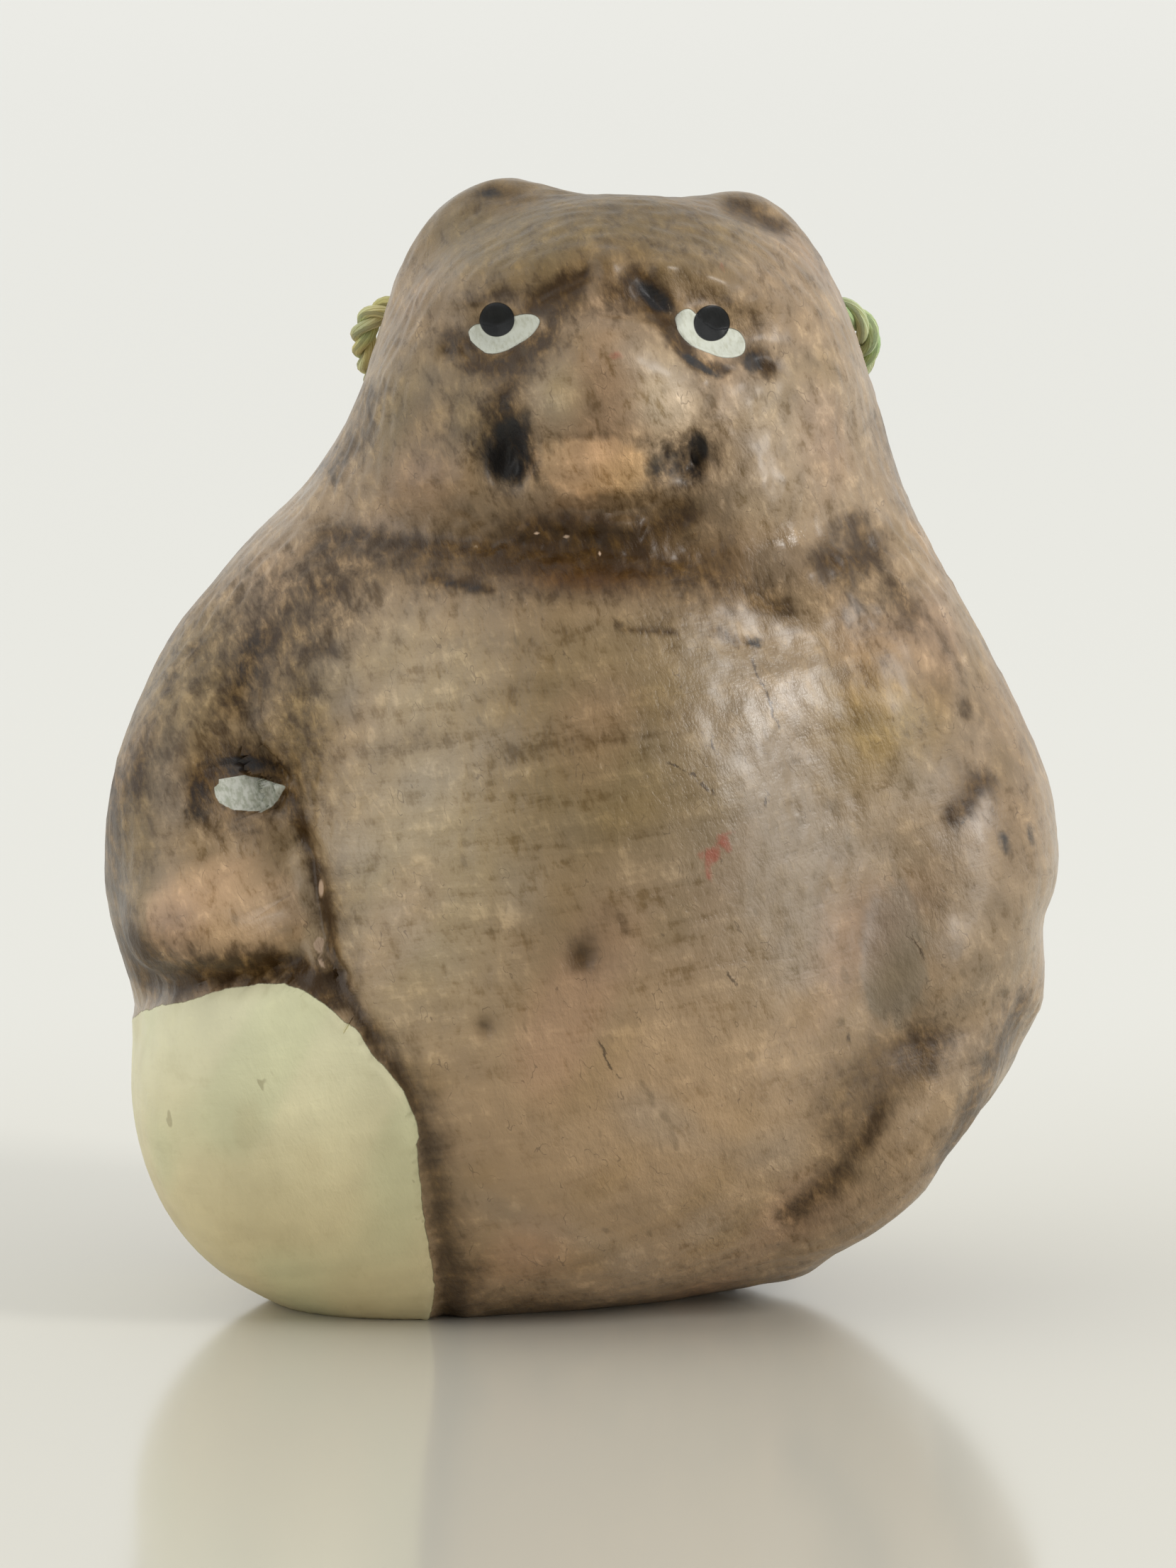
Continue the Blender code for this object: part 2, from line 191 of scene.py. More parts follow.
def ellipsoid(p, centre, half, lean):
    q = p - np.array(centre)
    c, s = math.cos(math.radians(lean)), math.sin(math.radians(lean))
    q = np.stack([q[:, 0] * c + q[:, 2] * s, q[:, 1],
                  q[:, 2] * c - q[:, 0] * s], axis=1) / np.array(half)
    out = np.sqrt((q ** 2).sum(1)) + 1e-9
    return out * (out - 1) / (np.sqrt(((q / np.array(half)) ** 2).sum(1)) + 1e-9)


def join(a, b, soft):
    h = np.clip(0.5 + 0.5 * (b - a) / soft, 0, 1)
    return b + (a - b) * h - soft * h * (1 - h)


def body(p):
    d = None
    for _, centre, half, lean, soft in MASSES:
        e = ellipsoid(p, centre, half, lean)
        d = e if d is None else join(d, e, soft)
    return d


def smooth_line(points, each=4):
    q = np.array(points, float)
    q = np.vstack([2 * q[0] - q[1], q, 2 * q[-1] - q[-2]])
    out = []
    for i in range(1, len(q) - 2):
        a, b, c, d = q[i - 1], q[i], q[i + 1], q[i + 2]
        for t in np.linspace(0, 1, each, endpoint=False):
            out.append(0.5 * (2 * b + (c - a) * t + (2 * a - 5 * b + 4 * c - d) * t * t
                              + (3 * b - a - 3 * c + d) * t ** 3))
    out.append(q[-2])
    return np.array(out)


def off_line(x, y, line):
    away = np.full(x.shape, 1e9)
    for (ax, ay), (bx, by) in zip(line[:-1], line[1:]):
        ex, ey = bx - ax, by - ay
        t = np.clip(((x - ax) * ex + (y - ay) * ey) / (ex * ex + ey * ey), 0, 1)
        away = np.minimum(away, np.hypot(x - ax - t * ex, y - ay - t * ey))
    return away


def near_line(x, y, line, wide, fade):
    """1 on a line of the sheet, less beside it and towards its ends. Wide and
    fade are in squares."""
    away, at, run = np.full(x.shape, 1e9), np.zeros(x.shape), 0.0
    for (ax, ay), (bx, by) in zip(line[:-1], line[1:]):
        ex, ey = bx - ax, by - ay
        t = np.clip(((x - ax) * ex + (y - ay) * ey) / (ex * ex + ey * ey), 0, 1)
        d = np.hypot(x - ax - t * ex, y - ay - t * ey)
        long = math.hypot(ex, ey)
        closer = d < away
        away, at = np.where(closer, d, away), np.where(closer, run + t * long, at)
        run += long
    return np.exp(-(away / wide) ** 2) * step(np.minimum(at, run - at), -0.15 * fade, fade)


def inside_by(x, y, outline):
    """How many squares of the sheet points are inside a closed outline."""
    line = np.vstack([outline, outline[:1]])
    odd = np.zeros(x.shape, bool)
    for (ax, ay), (bx, by) in zip(line[:-1], line[1:]):
        crosses = (ay > y) != (by > y)
        odd ^= crosses & (x < (bx - ax) * (y - ay) / ((by - ay) or 1e-9) + ax)
    return np.where(odd, 1.0, -1.0) * off_line(x, y, line)


def closed(points, each=3):
    q = np.array(points, float)
    ring = np.vstack([q[-2:], q, q[:3]])
    fine = smooth_line(ring, each)
    return fine[2 * each:-3 * each]


def step(value, low, high):
    t = np.clip((value - low) / (high - low), 0, 1)
    return t * t * (3 - 2 * t)


def spot(x, y, cx, cy, rx, ry, turn):
    c, s = math.cos(math.radians(turn)), math.sin(math.radians(turn))
    dx, dy = x - cx, y - cy
    return np.exp(-((dx * c + dy * s) / rx) ** 2 - ((dy * c - dx * s) / ry) ** 2)


def ripple(p, size, seed):
    """A smooth, even unevenness of about that size in mm, from -1 to 1."""
    r = np.random.default_rng(seed)
    total = np.zeros(len(p))
    for _ in range(9):
        way = r.normal(size=3)
        way *= 2 * math.pi / (size * r.uniform(0.8, 1.5) * np.linalg.norm(way))
        total += np.sin(p @ way + r.uniform(0, 6.28))
    return total / 4.0


LINES = {name: smooth_line(line) for name, line, _, _ in CUTS}
PATCHES = [closed(FLASK), closed(MOUTH), closed(LEFT_WHITE), closed(RIGHT_WHITE)]


def facing(p):
    front = np.clip((3.0 - p[:, 1]) / 6.0, 0, 1)
    return front * front * (3 - 2 * front)


def painted(p):
    """How much of the front's painting reaches a point round the side."""
    return step(-p[:, 1], -7.0, -1.0)


def paint_edges(p):
    """How far points are inside each patch of thick paint, in mm."""
    x, y = on_sheet(p)
    wobble = ripple(p, 1.7, 5) * 1.6 + ripple(p, 0.8, 6) * 0.7
    behind = np.where(p[:, 1] < 3.0, 0.0, -60.0)
    flask, mouth, left, right = [
        (inside_by(x, y, outline) + wobble * (1.0 if i == 0 else 0.35)) * SQUARE + behind
        for i, outline in enumerate(PATCHES)]
    # round the side the flask's paint ends in an arc
    back = p[:, 1] - FLASK_SIDE[0]
    arc = FLASK_SIDE[2] - np.hypot(back, p[:, 2] - FLASK_SIDE[1]) + 20 * step(-back, 0, 2)
    flask = np.minimum(flask - behind, arc + wobble * 2 * SQUARE)
    pupils = np.maximum(*[(r + wobble * 0.25 - np.hypot((x - cx), (y - cy))) * SQUARE + behind
                          for cx, cy, r in (LEFT_PUPIL, RIGHT_PUPIL)])
    return flask, mouth, np.maximum(left, right), pupils


def carving(p):
    x, y = on_sheet(p)
    h = np.zeros(x.shape)
    for _, cx, cy, rx, ry, high, turn in SWELLINGS:
        h += high * spot(x, y, cx, cy, rx, ry, turn)
    for name, _, wide, deep in CUTS:
        h -= deep * near_line(x, y, LINES[name], wide / SQUARE, min(55.0, 2.2 * wide / SQUARE))
    return h * facing(p)


PITS = []
_r = np.random.default_rng(11)
for _ in range(70):
    PITS.append((_r.uniform(240, 1420), _r.uniform(300, 1800), _r.uniform(4, 9),
                 _r.uniform(5, 15), -_r.uniform(0.06, 0.2), _r.uniform(-40, 40)))


def relief(p):
    """The fine unevenness of the hand-worked clay and the thickness of paint."""
    x, y = on_sheet(p)
    h = 0.08 * ripple(p, 7.0, 1) + 0.016 * ripple(p, 2.6, 2)
    ragged = np.zeros(len(p))
    for cx, cy, rx, ry, turn in ((830, 765, 420, 55, 2), (380, 900, 110, 130, 0),
                                 (1230, 800, 150, 70, 25), (330, 1110, 110, 80, 0)):
        ragged = np.maximum(ragged, spot(x, y, cx, cy, rx, ry, turn))
    ragged *= facing(p)
    h += (0.03 + 0.07 * ragged) * ripple(p, 1.1, 3) + 0.03 * ragged * ripple(p, 0.6, 4)
    dots = np.zeros(len(p))
    for cx, cy, rx, ry, high, turn in PITS:
        near = (np.abs(x - cx) < 40) & (np.abs(y - cy) < 40)
        dots[near] += high * spot(x[near], y[near], cx, cy, rx, ry, turn)
    flask, mouth, white, pupil = paint_edges(p)
    smoother = step(flask, -0.1, 0.4)
    h = h * (1 - 0.6 * smoother) + dots * facing(p) * (1 - 0.7 * smoother)
    h += 0.16 * step(flask, -0.08, 0.12) + 0.10 * np.exp(-((flask - 0.22) / 0.2) ** 2)
    h += 0.20 * step(mouth, -0.12, 0.15)
    h += 0.10 * step(white, -0.05, 0.10) + 0.07 * step(pupil, -0.05, 0.08)
    return h


def outside(p):
    return np.maximum(body(p) - carving(p) - relief(p), -p[:, 2])


def hollow(p):
    return np.maximum(body(p) + WALL, WALL - p[:, 2])


# ------------------------------------------------------------------ the camera
def look_from_front():
    data = bpy.data.cameras.new("camera")
    camera = bpy.data.objects.new("camera", data)
    bpy.context.scene.collection.objects.link(camera)
    data.sensor_width = 36.0
    data.lens = 36.0 * SEEN_FROM / (2212 * SQUARE)
    data.clip_start, data.clip_end = 0.01, 20.0
    aim = Vector((SHEET_AIM[0] + SHIFT[0], SHIFT[1], SHEET_AIM[1])) * 0.001
    ahead = Vector((0, math.cos(SEEN_AT), -math.sin(SEEN_AT)))
    camera.location = aim - ahead * SEEN_FROM * 0.001
    camera.rotation_euler = (math.pi / 2 - SEEN_AT, 0, 0)
    bpy.context.scene.camera = camera


look_from_front()


# ------------------------------------------------------------------ materials
def linear(rgb, gain=1.0):
    """A colour of 0 to 255 as a picture has it, as light."""
    c = np.asarray(rgb, float) / 255.0
    return np.where(c <= 0.04045, c / 12.92, ((c + 0.055) / 1.055) ** 2.4) * gain


class Nodes:
    """Short ways to build one material's nodes."""

    def __init__(self, name):
        self.material = bpy.data.materials.new(name)
        self.material.use_nodes = True
        self.tree = self.material.node_tree
        self.tree.nodes.clear()
        self.shader = self.add("ShaderNodeBsdfPrincipled")
        out = self.add("ShaderNodeOutputMaterial")
        self.tree.links.new(self.shader.outputs[0], out.inputs[0])

    def add(self, kind, **settings):
        made = self.tree.nodes.new(kind)
        for key, value in settings.items():
            setattr(made, key, value)
        return made

    def put(self, socket, value):
        if isinstance(value, bpy.types.NodeSocket):
            self.tree.links.new(value, socket)
        elif hasattr(socket.default_value, "__len__"):
            size = len(socket.default_value)
            value = [float(v) for v in value] if hasattr(value, "__len__") else [float(value)] * size
            socket.default_value = (value + [1.0])[:size] if len(value) < size else value[:size]
        else:
            socket.default_value = float(value)

    def math(self, how, a, b=0.0, c=0.0, clamp=False):
        made = self.add("ShaderNodeMath", operation=how, use_clamp=clamp)
        for socket, value in zip(made.inputs, (a, b, c)):
            self.put(socket, value)
        return made.outputs[0]

    def vector(self, how, a, b=(0, 0, 0), scale=1.0):
        made = self.add("ShaderNodeVectorMath", operation=how)
        self.put(made.inputs[0], a)
        self.put(made.inputs[1], b)
        if how == "SCALE":
            self.put(made.inputs[3], scale)
        return made.outputs["Value" if how in ("DOT_PRODUCT", "LENGTH", "DISTANCE") else "Vector"]

    def step(self, value, low, high, to_low=0.0, to_high=1.0, soft=True):
        made = self.add("ShaderNodeMapRange", clamp=True,
                        interpolation_type="SMOOTHSTEP" if soft else "LINEAR")
        for socket, v in zip(made.inputs, (value, low, high, to_low, to_high)):
            self.put(socket, v)
        return made.outputs[0]

    def mix(self, how_much, a, b, how="MIX"):
        made = self.add("ShaderNodeMix", data_type="RGBA", blend_type=how)
        self.put(made.inputs[0], how_much)
        self.put(made.inputs[6], a)
        self.put(made.inputs[7], b)
        return made.outputs[2]

    def noise(self, where, scale, detail=3.0, rough=0.55, twist=0.0):
        made = self.add("ShaderNodeTexNoise")
        self.put(made.inputs["Vector"], where)
        for key, value in (("Scale", scale), ("Detail", detail), ("Roughness", rough),
                           ("Distortion", twist)):
            self.put(made.inputs[key], value)
        return made.outputs["Fac"]

    def cells(self, where, scale, feature="F1"):
        made = self.add("ShaderNodeTexVoronoi", feature=feature)
        self.put(made.inputs["Vector"], where)
        self.put(made.inputs["Scale"], scale)
        return made.outputs["Distance"]

    def attribute(self, name, output="Vector"):
        return self.add("ShaderNodeAttribute", attribute_name=name).outputs[output]

    def parts(self, vector):
        made = self.add("ShaderNodeSeparateXYZ")
        self.put(made.inputs[0], vector)
        return made.outputs

    def millimetres(self, stretch=(1, 1, 1)):
        """Places on the object in mm, each way stretched by that much."""
        place_of = self.add("ShaderNodeTexCoord").outputs["Object"]
        return self.vector("MULTIPLY", place_of, [1000 * s for s in stretch])

    def bump(self, height, high_mm, after=None):
        made = self.add("ShaderNodeBump")
        self.put(made.inputs["Height"], height)
        self.put(made.inputs["Strength"], 1.0)
        self.put(made.inputs["Distance"], high_mm * 0.001)
        if after is not None:
            self.put(made.inputs["Normal"], after)
        return made.outputs["Normal"]

    def set(self, **values):
        for key, value in values.items():
            self.put(self.shader.inputs[key.replace("_", " ")], value)


def place(name, mesh, finish=None):
    obj = bpy.data.objects.new(name, mesh)
    bpy.context.scene.collection.objects.link(obj)
    if finish:
        mesh.materials.append(finish)
    return obj


def store(mesh, name, values):
    """Keeps one number or three for each point of a mesh."""
    values = np.asarray(values, np.float32)
    kind, field = ("FLOAT", "value") if values.ndim == 1 else ("FLOAT_VECTOR", "vector")
    made = mesh.attributes.new(name, kind, "POINT")
    made.data.foreach_set(field, values.ravel())


# ------------------------------------------------------------------ the cord
def through(points, each):
    """Points every so many mm along a smooth curve through the route's own."""
    fine = smooth_line(points, 24)
    run = np.concatenate([[0], np.cumsum(np.linalg.norm(np.diff(fine, axis=0), axis=1))])
    want = np.linspace(0, run[-1], max(2, round(run[-1] / each)))
    return np.stack([np.interp(want, run, fine[:, k]) for k in range(3)], axis=1)


def behind(x, z, off):
    near, far = 0.0, 30.0
    for _ in range(40):
        y = (near + far) / 2
        if body(np.array([[x, y, z]]))[0] > off:
            far = y
        else:
            near = y
    return (x, far, z)


def cord_route():
    y, z = HOLE_AT
    low, off = CORD / 2 + FLOOR, CORD / 2 + CLEAR
    kx, ky, _ = KNOT_AT
    left = [(kx - 1.1, ky - KNOT[1] - 0.3, low + 0.5),
            (kx - 1.5, ky - KNOT[1] - 2.2, low + 0.1),
            (-3.0, 24.6, low + 0.7), (-4.2, 22.2, 4.6), (-4.8, 21.5, 10.0),
            behind(-5.2, 18.0, off + 0.1), behind(-6.0, 27.0, off),
            behind(-7.4, 36.0, off), behind(-9.2, 43.5, off),
            behind(-10.9, 48.6, off + 0.1),
            (-12.1, 8.4, 51.5), (-12.5, 6.5, 53.6), (-11.5, y, 55.0), (-9.0, y, z)]
    right = [(12.6, y, z), (15.0, y, 54.9), (16.15, 6.6, 53.4), (15.6, 8.7, 51.3),
             behind(13.8, 48.4, off + 0.1), behind(10.9, 43.2, off),
             behind(8.2, 36.0, off), behind(5.9, 27.0, off),
             behind(4.4, 18.0, off + 0.1), (3.6, 21.5, 10.0), (2.9, 22.3, 4.6),
             (1.8, 24.7, low + 0.7),
             (kx + 1.5, ky - KNOT[1] - 2.2, low + 0.1),
             (kx + 1.1, ky - KNOT[1] - 0.3, low + 0.5)]
    return left + [(2.0, y, z)] + right


def carried(line):
    """Two sideways directions for each point of a line, that turn as little as
    they can."""
    ahead = np.gradient(line, axis=0)
    ahead /= np.linalg.norm(ahead, axis=1)[:, None]
    side = np.cross(ahead[0], (0.0, 0.3, 1.0))
    side /= np.linalg.norm(side)
    sides = [side]
    for t in ahead[1:]:
        side = sides[-1] - t * (sides[-1] @ t)
        sides.append(side / np.linalg.norm(side))
    sides = np.array(sides)
    return sides, np.cross(ahead, sides)


def tube(bm, line, radii, sides):
    """A round rod along a line, closed at both ends."""
    u, v = carried(line)
    angles = np.linspace(0, 2 * math.pi, sides, endpoint=False)
    rings = []
    for point, a, b, r in zip(line, u, v, radii):
        rings.append([bm.verts.new((point + r * (a * math.cos(t) + b * math.sin(t))) * 0.001)
                      for t in angles])
    for one, two in zip(rings[:-1], rings[1:]):
        for i in range(sides):
            j = (i + 1) % sides
            bm.faces.new((one[i], one[j], two[j], two[i]))
    bm.faces.new(rings[0][::-1])
    bm.faces.new(rings[-1])
    return len(line) * sides


def twisted(bm, line, pitch, out, thick, sides, marks, spread=None, start=0.0):
    """Three plies laid round each other along a line. Marks gets, for each new
    point, how far along it is and which ply it is on."""
    u, v = carried(line)
    run = np.concatenate([[0], np.cumsum(np.linalg.norm(np.diff(line, axis=0), axis=1))])
    offs = np.full(len(line), out) if spread is None else out * spread
    for ply in range(3):
        angle = start + 2 * math.pi * (run / pitch + ply / 3)
        uneven = 1 + 0.05 * np.sin(run * 1.7 + ply * 2.1)
        path = line + (offs * uneven)[:, None] * (u * np.cos(angle)[:, None] + v * np.sin(angle)[:, None])
        radii = thick * (1 + 0.05 * np.sin(run * 2.3 + ply * 1.3))
        count = tube(bm, path, radii, sides)
        where = np.repeat(run, sides)
        marks.append(np.stack([where, np.full(count, ply / 2.0),
                               np.tile(np.arange(sides) / sides, len(line))], axis=1))


def finished(name, bm, finish):
    bmesh.ops.recalc_face_normals(bm, faces=bm.faces)
    mesh = bpy.data.meshes.new(name)
    bm.to_mesh(mesh)
    bm.free()
    mesh.shade_smooth()
    return place(name, mesh, finish)


def thread_material():
    n = Nodes("twisted_thread")
    marks = n.parts(n.attribute("marks"))           # mm along, ply, round the ply
    greener = n.attribute("greener", "Fac")
    where = n.millimetres()
    patchy = n.noise(where, 0.35, 2)
    hue = n.math("ADD", greener, n.math("MULTIPLY_ADD", patchy, 0.9, -0.45))
    colour = n.mix(n.step(hue, 0.2, 0.75), linear((240, 228, 158)), linear((184, 220, 164)))
    pale = n.mix(0.45, colour, linear((238, 232, 200)))
    colour = n.mix(n.step(marks[1], 0.3, 0.7), colour, pale)
    # each ply is many fine fibres laid at a slant
    slant = n.math("MULTIPLY_ADD", marks[0], 1.15, n.math("MULTIPLY", marks[2], 9.0))
    line_up = n.add("ShaderNodeCombineXYZ")
    n.put(line_up.inputs[0], slant)
    n.put(line_up.inputs[1], n.math("MULTIPLY", marks[1], 7.0))
    fibres = n.noise(line_up.outputs[0], 2.6, 3, 0.65)
    fuzz = n.noise(where, 6.0, 3, 0.7)
    colour = n.mix(n.step(fibres, 0.38, 0.62), n.mix(1.0, colour, (0.62, 0.58, 0.42), "MULTIPLY"), colour)
    colour = n.mix(n.step(fuzz, 0.55, 0.75, 0.0, 0.4), colour, linear((228, 224, 196)))
    normal = n.bump(fibres, 0.10)
    normal = n.bump(fuzz, 0.04, normal)
    n.set(Base_Color=colour, Roughness=0.72, Specular_IOR_Level=0.35, Normal=normal,
          Sheen_Weight=0.25, Sheen_Roughness=0.5)
    return n.material


thread = thread_material()
route = through(cord_route(), 0.25) + SHIFT
bm = bmesh.new()
marks = []
twisted(bm, route, 4.1, 0.41, 0.355, 10, marks)
cord = finished("hanging_cord_twisted", bm, thread)
store(cord.data, "marks", np.vstack(marks))
long_way = float(np.linalg.norm(np.diff(route, axis=0), axis=1).sum())
store(cord.data, "greener", np.clip(np.vstack(marks)[:, 0] / long_way * 1.6 - 0.3, 0, 1))

kx, ky, kz = np.array(KNOT_AT) + SHIFT
bm = bmesh.new()
marks, tints = [], []
for side in (-1, 1):
    turns = [(-1.1, -2.6, -0.6), (-0.5, -1.5, -0.25), (0.7, -0.5, 0.75), (1.45, 0.6, 0.3),
             (0.7, 1.35, -0.55), (-0.8, 1.05, -0.75), (-1.65, 0.1, -0.05), (-1.1, -0.95, 0.75),
             (0.3, -1.15, 0.55), (1.2, -0.35, -0.4), (0.75, 0.8, -0.85), (0.6, 2.0, -0.75),
             (1.0, 3.6, -1.05), (2.0, 5.4, -1.1), (2.6, 7.2, -1.08)]
    turns = [(kx - side * a * (1.0 if side > 0 else 0.94), ky + b * (1.0 if side > 0 else 0.93),
              kz + c * (1.0 if side > 0 else -0.55 if i not in (0, 11, 12, 13, 14) else 1.0))
             for i, (a, b, c) in enumerate(turns)]
    knot_line = through(turns, 0.22)
    loose = np.ones(len(knot_line))
    loose[-9:] = np.linspace(1.0, 1.75, 9)
    before = len(marks)
    twisted(bm, knot_line, 4.1, 0.385, 0.32, 9, marks, loose)
    tints += [np.full(len(m), 0.0 if side < 0 else 1.0) for m in marks[before:]]
knot = finished("cord_knot_tied", bm, thread)
store(knot.data, "marks", np.vstack(marks))
store(knot.data, "greener", np.concatenate(tints) * 0.8)

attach(cord, "root")
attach(knot, "root")
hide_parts("hanging_cord")
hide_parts("cord_knot")


# ------------------------------------------------------------------ the clay
def lines_out(cube, low, high, finer):
    """For points of a cube, where on a short upright axis a line starts and
    which way it goes."""
    way = np.tan(cube * (math.pi / 4))
    way /= np.linalg.norm(way, axis=1)[:, None]
    way[:, 1] -= finer
    way /= np.linalg.norm(way, axis=1)[:, None]
    start = np.zeros_like(way)
    start[:, 0] = 0.5 + 1.0 * way[:, 2]
    start[:, 2] = low + (high - low) * (0.5 + 0.5 * way[:, 2])
    return start, way


def pressed(name, grid, low, high, reach, finer, settle, detailed=()):
    """A subdivided cube whose points are pressed in, along lines from a short
    upright axis, until they meet the shape that settle finds. The squares
    within each detailed oval of the sheet are halved once more."""
    bm = bmesh.new()
    bmesh.ops.create_cube(bm, size=2.0)
    bmesh.ops.subdivide_edges(bm, edges=bm.edges[:], cuts=grid - 1, use_grid_fill=True)
    for ovals in detailed:
        middles = np.array([face.calc_center_median() for face in bm.faces])
        start, way = lines_out(middles, low, high, finer)
        along = np.full(len(way), reach)
        for _ in range(12):
            along -= 0.75 * body(start + way * along[:, None])
        p = start + way * along[:, None]
        x, y = on_sheet(p)
        inside = np.zeros(len(p), bool)
        for cx, cy, rx, ry in ovals:
            inside |= (((x - cx) / rx) ** 2 + ((y - cy) / ry) ** 2 < 1) & (p[:, 1] < 2)
        chosen = {edge for face, yes in zip(bm.faces, inside) if yes for edge in face.edges}
        bmesh.ops.subdivide_edges(bm, edges=list(chosen), cuts=1, use_grid_fill=True,
                                  use_single_edge=True)
    mesh = bpy.data.meshes.new(name)
    bm.to_mesh(mesh)
    bm.free()
    flat = np.empty(len(mesh.vertices) * 3, np.float32)
    mesh.vertices.foreach_get("co", flat)
    start, way = lines_out(flat.reshape(-1, 3).astype(float), low, high, finer)
    points = settle(start, way, reach)
    mesh.vertices.foreach_set("co", ((points + SHIFT) * 0.001).astype(np.float32).ravel())
    mesh.update()
    return mesh


def to_floor(start, way, along, floor):
    """Stops each line where it meets the flat underside."""
    down = np.minimum(way[:, 2], -1e-6)
    return np.where(way[:, 2] < -1e-6, np.minimum(along, (floor - start[:, 2]) / down), along)


def settle_outside(start, way, reach):
    along = np.full(len(way), reach)
    for _ in range(45):
        along -= 0.75 * body(start + way * along[:, None])
    for _ in range(3):
        points = start + way * along[:, None]
        out = carving(points) + relief(points)
        for _ in range(9):
            along -= 0.75 * (body(start + way * along[:, None]) - out)
    return start + way * to_floor(start, way, along, 0.0)[:, None]


def settle_hollow(start, way, reach):
    along = np.full(len(way), reach)
    for _ in range(60):
        along -= 0.75 * (body(start + way * along[:, None]) + WALL)
    return start + way * to_floor(start, way, along, WALL)[:, None]


def cutter(name, radius, depth, at, axis, sides):
    bm = bmesh.new()
    bmesh.ops.create_cone(bm, cap_ends=True, segments=sides, radius1=radius * 0.001,
                          radius2=radius * 0.001, depth=depth * 0.001)
    if axis == "X":
        bmesh.ops.rotate(bm, verts=bm.verts, matrix=Matrix.Rotation(math.pi / 2, 3, "Y"))
    bmesh.ops.translate(bm, verts=bm.verts, vec=Vector(at) * 0.001)
    mesh = bpy.data.meshes.new(name)
    bm.to_mesh(mesh)
    bm.free()
    return place(name, mesh)


def cut_bell():
    bell = place("bell_body_painted", pressed("bell_body_painted", OUTER_GRID, 17.0, 50.0,
                                              45.0, FRONT_FINER, settle_outside, DETAILED))
    room = place("room", pressed("room", INNER_GRID, 17.0, 47.0, 36.0, 0.0, settle_hollow))
    sx, sy = SLIT_AT[0] + SHIFT[0], SLIT_AT[1] + SHIFT[1]
    bm = bmesh.new()
    bmesh.ops.create_cube(bm, size=1.0)
    bmesh.ops.scale(bm, vec=(SLIT_LONG * 0.001, SLIT_WIDE * 0.001, 0.012), verts=bm.verts)
    bmesh.ops.translate(bm, verts=bm.verts, vec=(sx * 0.001, sy * 0.001, 0.001))
    slot = bpy.data.meshes.new("slit")
    bm.to_mesh(slot)
    bm.free()
    cutters = [room, place("slit", slot)]
    for side in (-1, 1):
        cutters.append(cutter(f"slit_end_{side + 1}", SLIT_EYE, 12.0,
                              (sx + side * SLIT_LONG / 2, sy, 1.5), "Z", 48))
    cutters.append(cutter("cord_hole", HOLE, 40.0,
                          (SHIFT[0] + 2.0, HOLE_AT[0] + SHIFT[1], HOLE_AT[1]), "X", 32))
    for tool in cutters:
        made = bell.modifiers.new("cut", "BOOLEAN")
        made.operation, made.solver, made.object = "DIFFERENCE", "EXACT", tool
    graph = bpy.context.evaluated_depsgraph_get()
    mesh = bpy.data.meshes.new_from_object(bell.evaluated_get(graph))
    bell.modifiers.clear()
    bell.data = mesh
    for tool in cutters:
        bpy.data.objects.remove(tool)
    mesh.shade_smooth()
    mesh.set_sharp_from_angle(angle=math.radians(48))
    return bell


# ------------------------------------------------------------------ the paint
# The paints: browns thinned and rubbed over pale clay, and a few stains; the darkest browns are also painted
# shadow under the chin, the palest a painted highlight on the snout, and the pink brown partly painted sheen on
# the right
# (rounded, but chosen knowing colours fitted to the photograph)
PAINTS = {
    "tan": (185, 165, 130),
    "warm_tan": (180, 150, 115),
    "brown": (145, 120, 90),
    "grey_brown": (135, 120, 100),
    "pink_brown": (160, 140, 115),
    "olive_brown": (130, 110, 75),
    "olive": (115, 95, 55),
    "ochre": (145, 120, 70),
    "orange_clay": (200, 165, 125),
    "pale_highlight": (210, 190, 165),
    "umber": (100, 75, 40),
    "shadow_rust": (90, 55, 20),
    "shadow_dark_umber": (55, 35, 10),
}
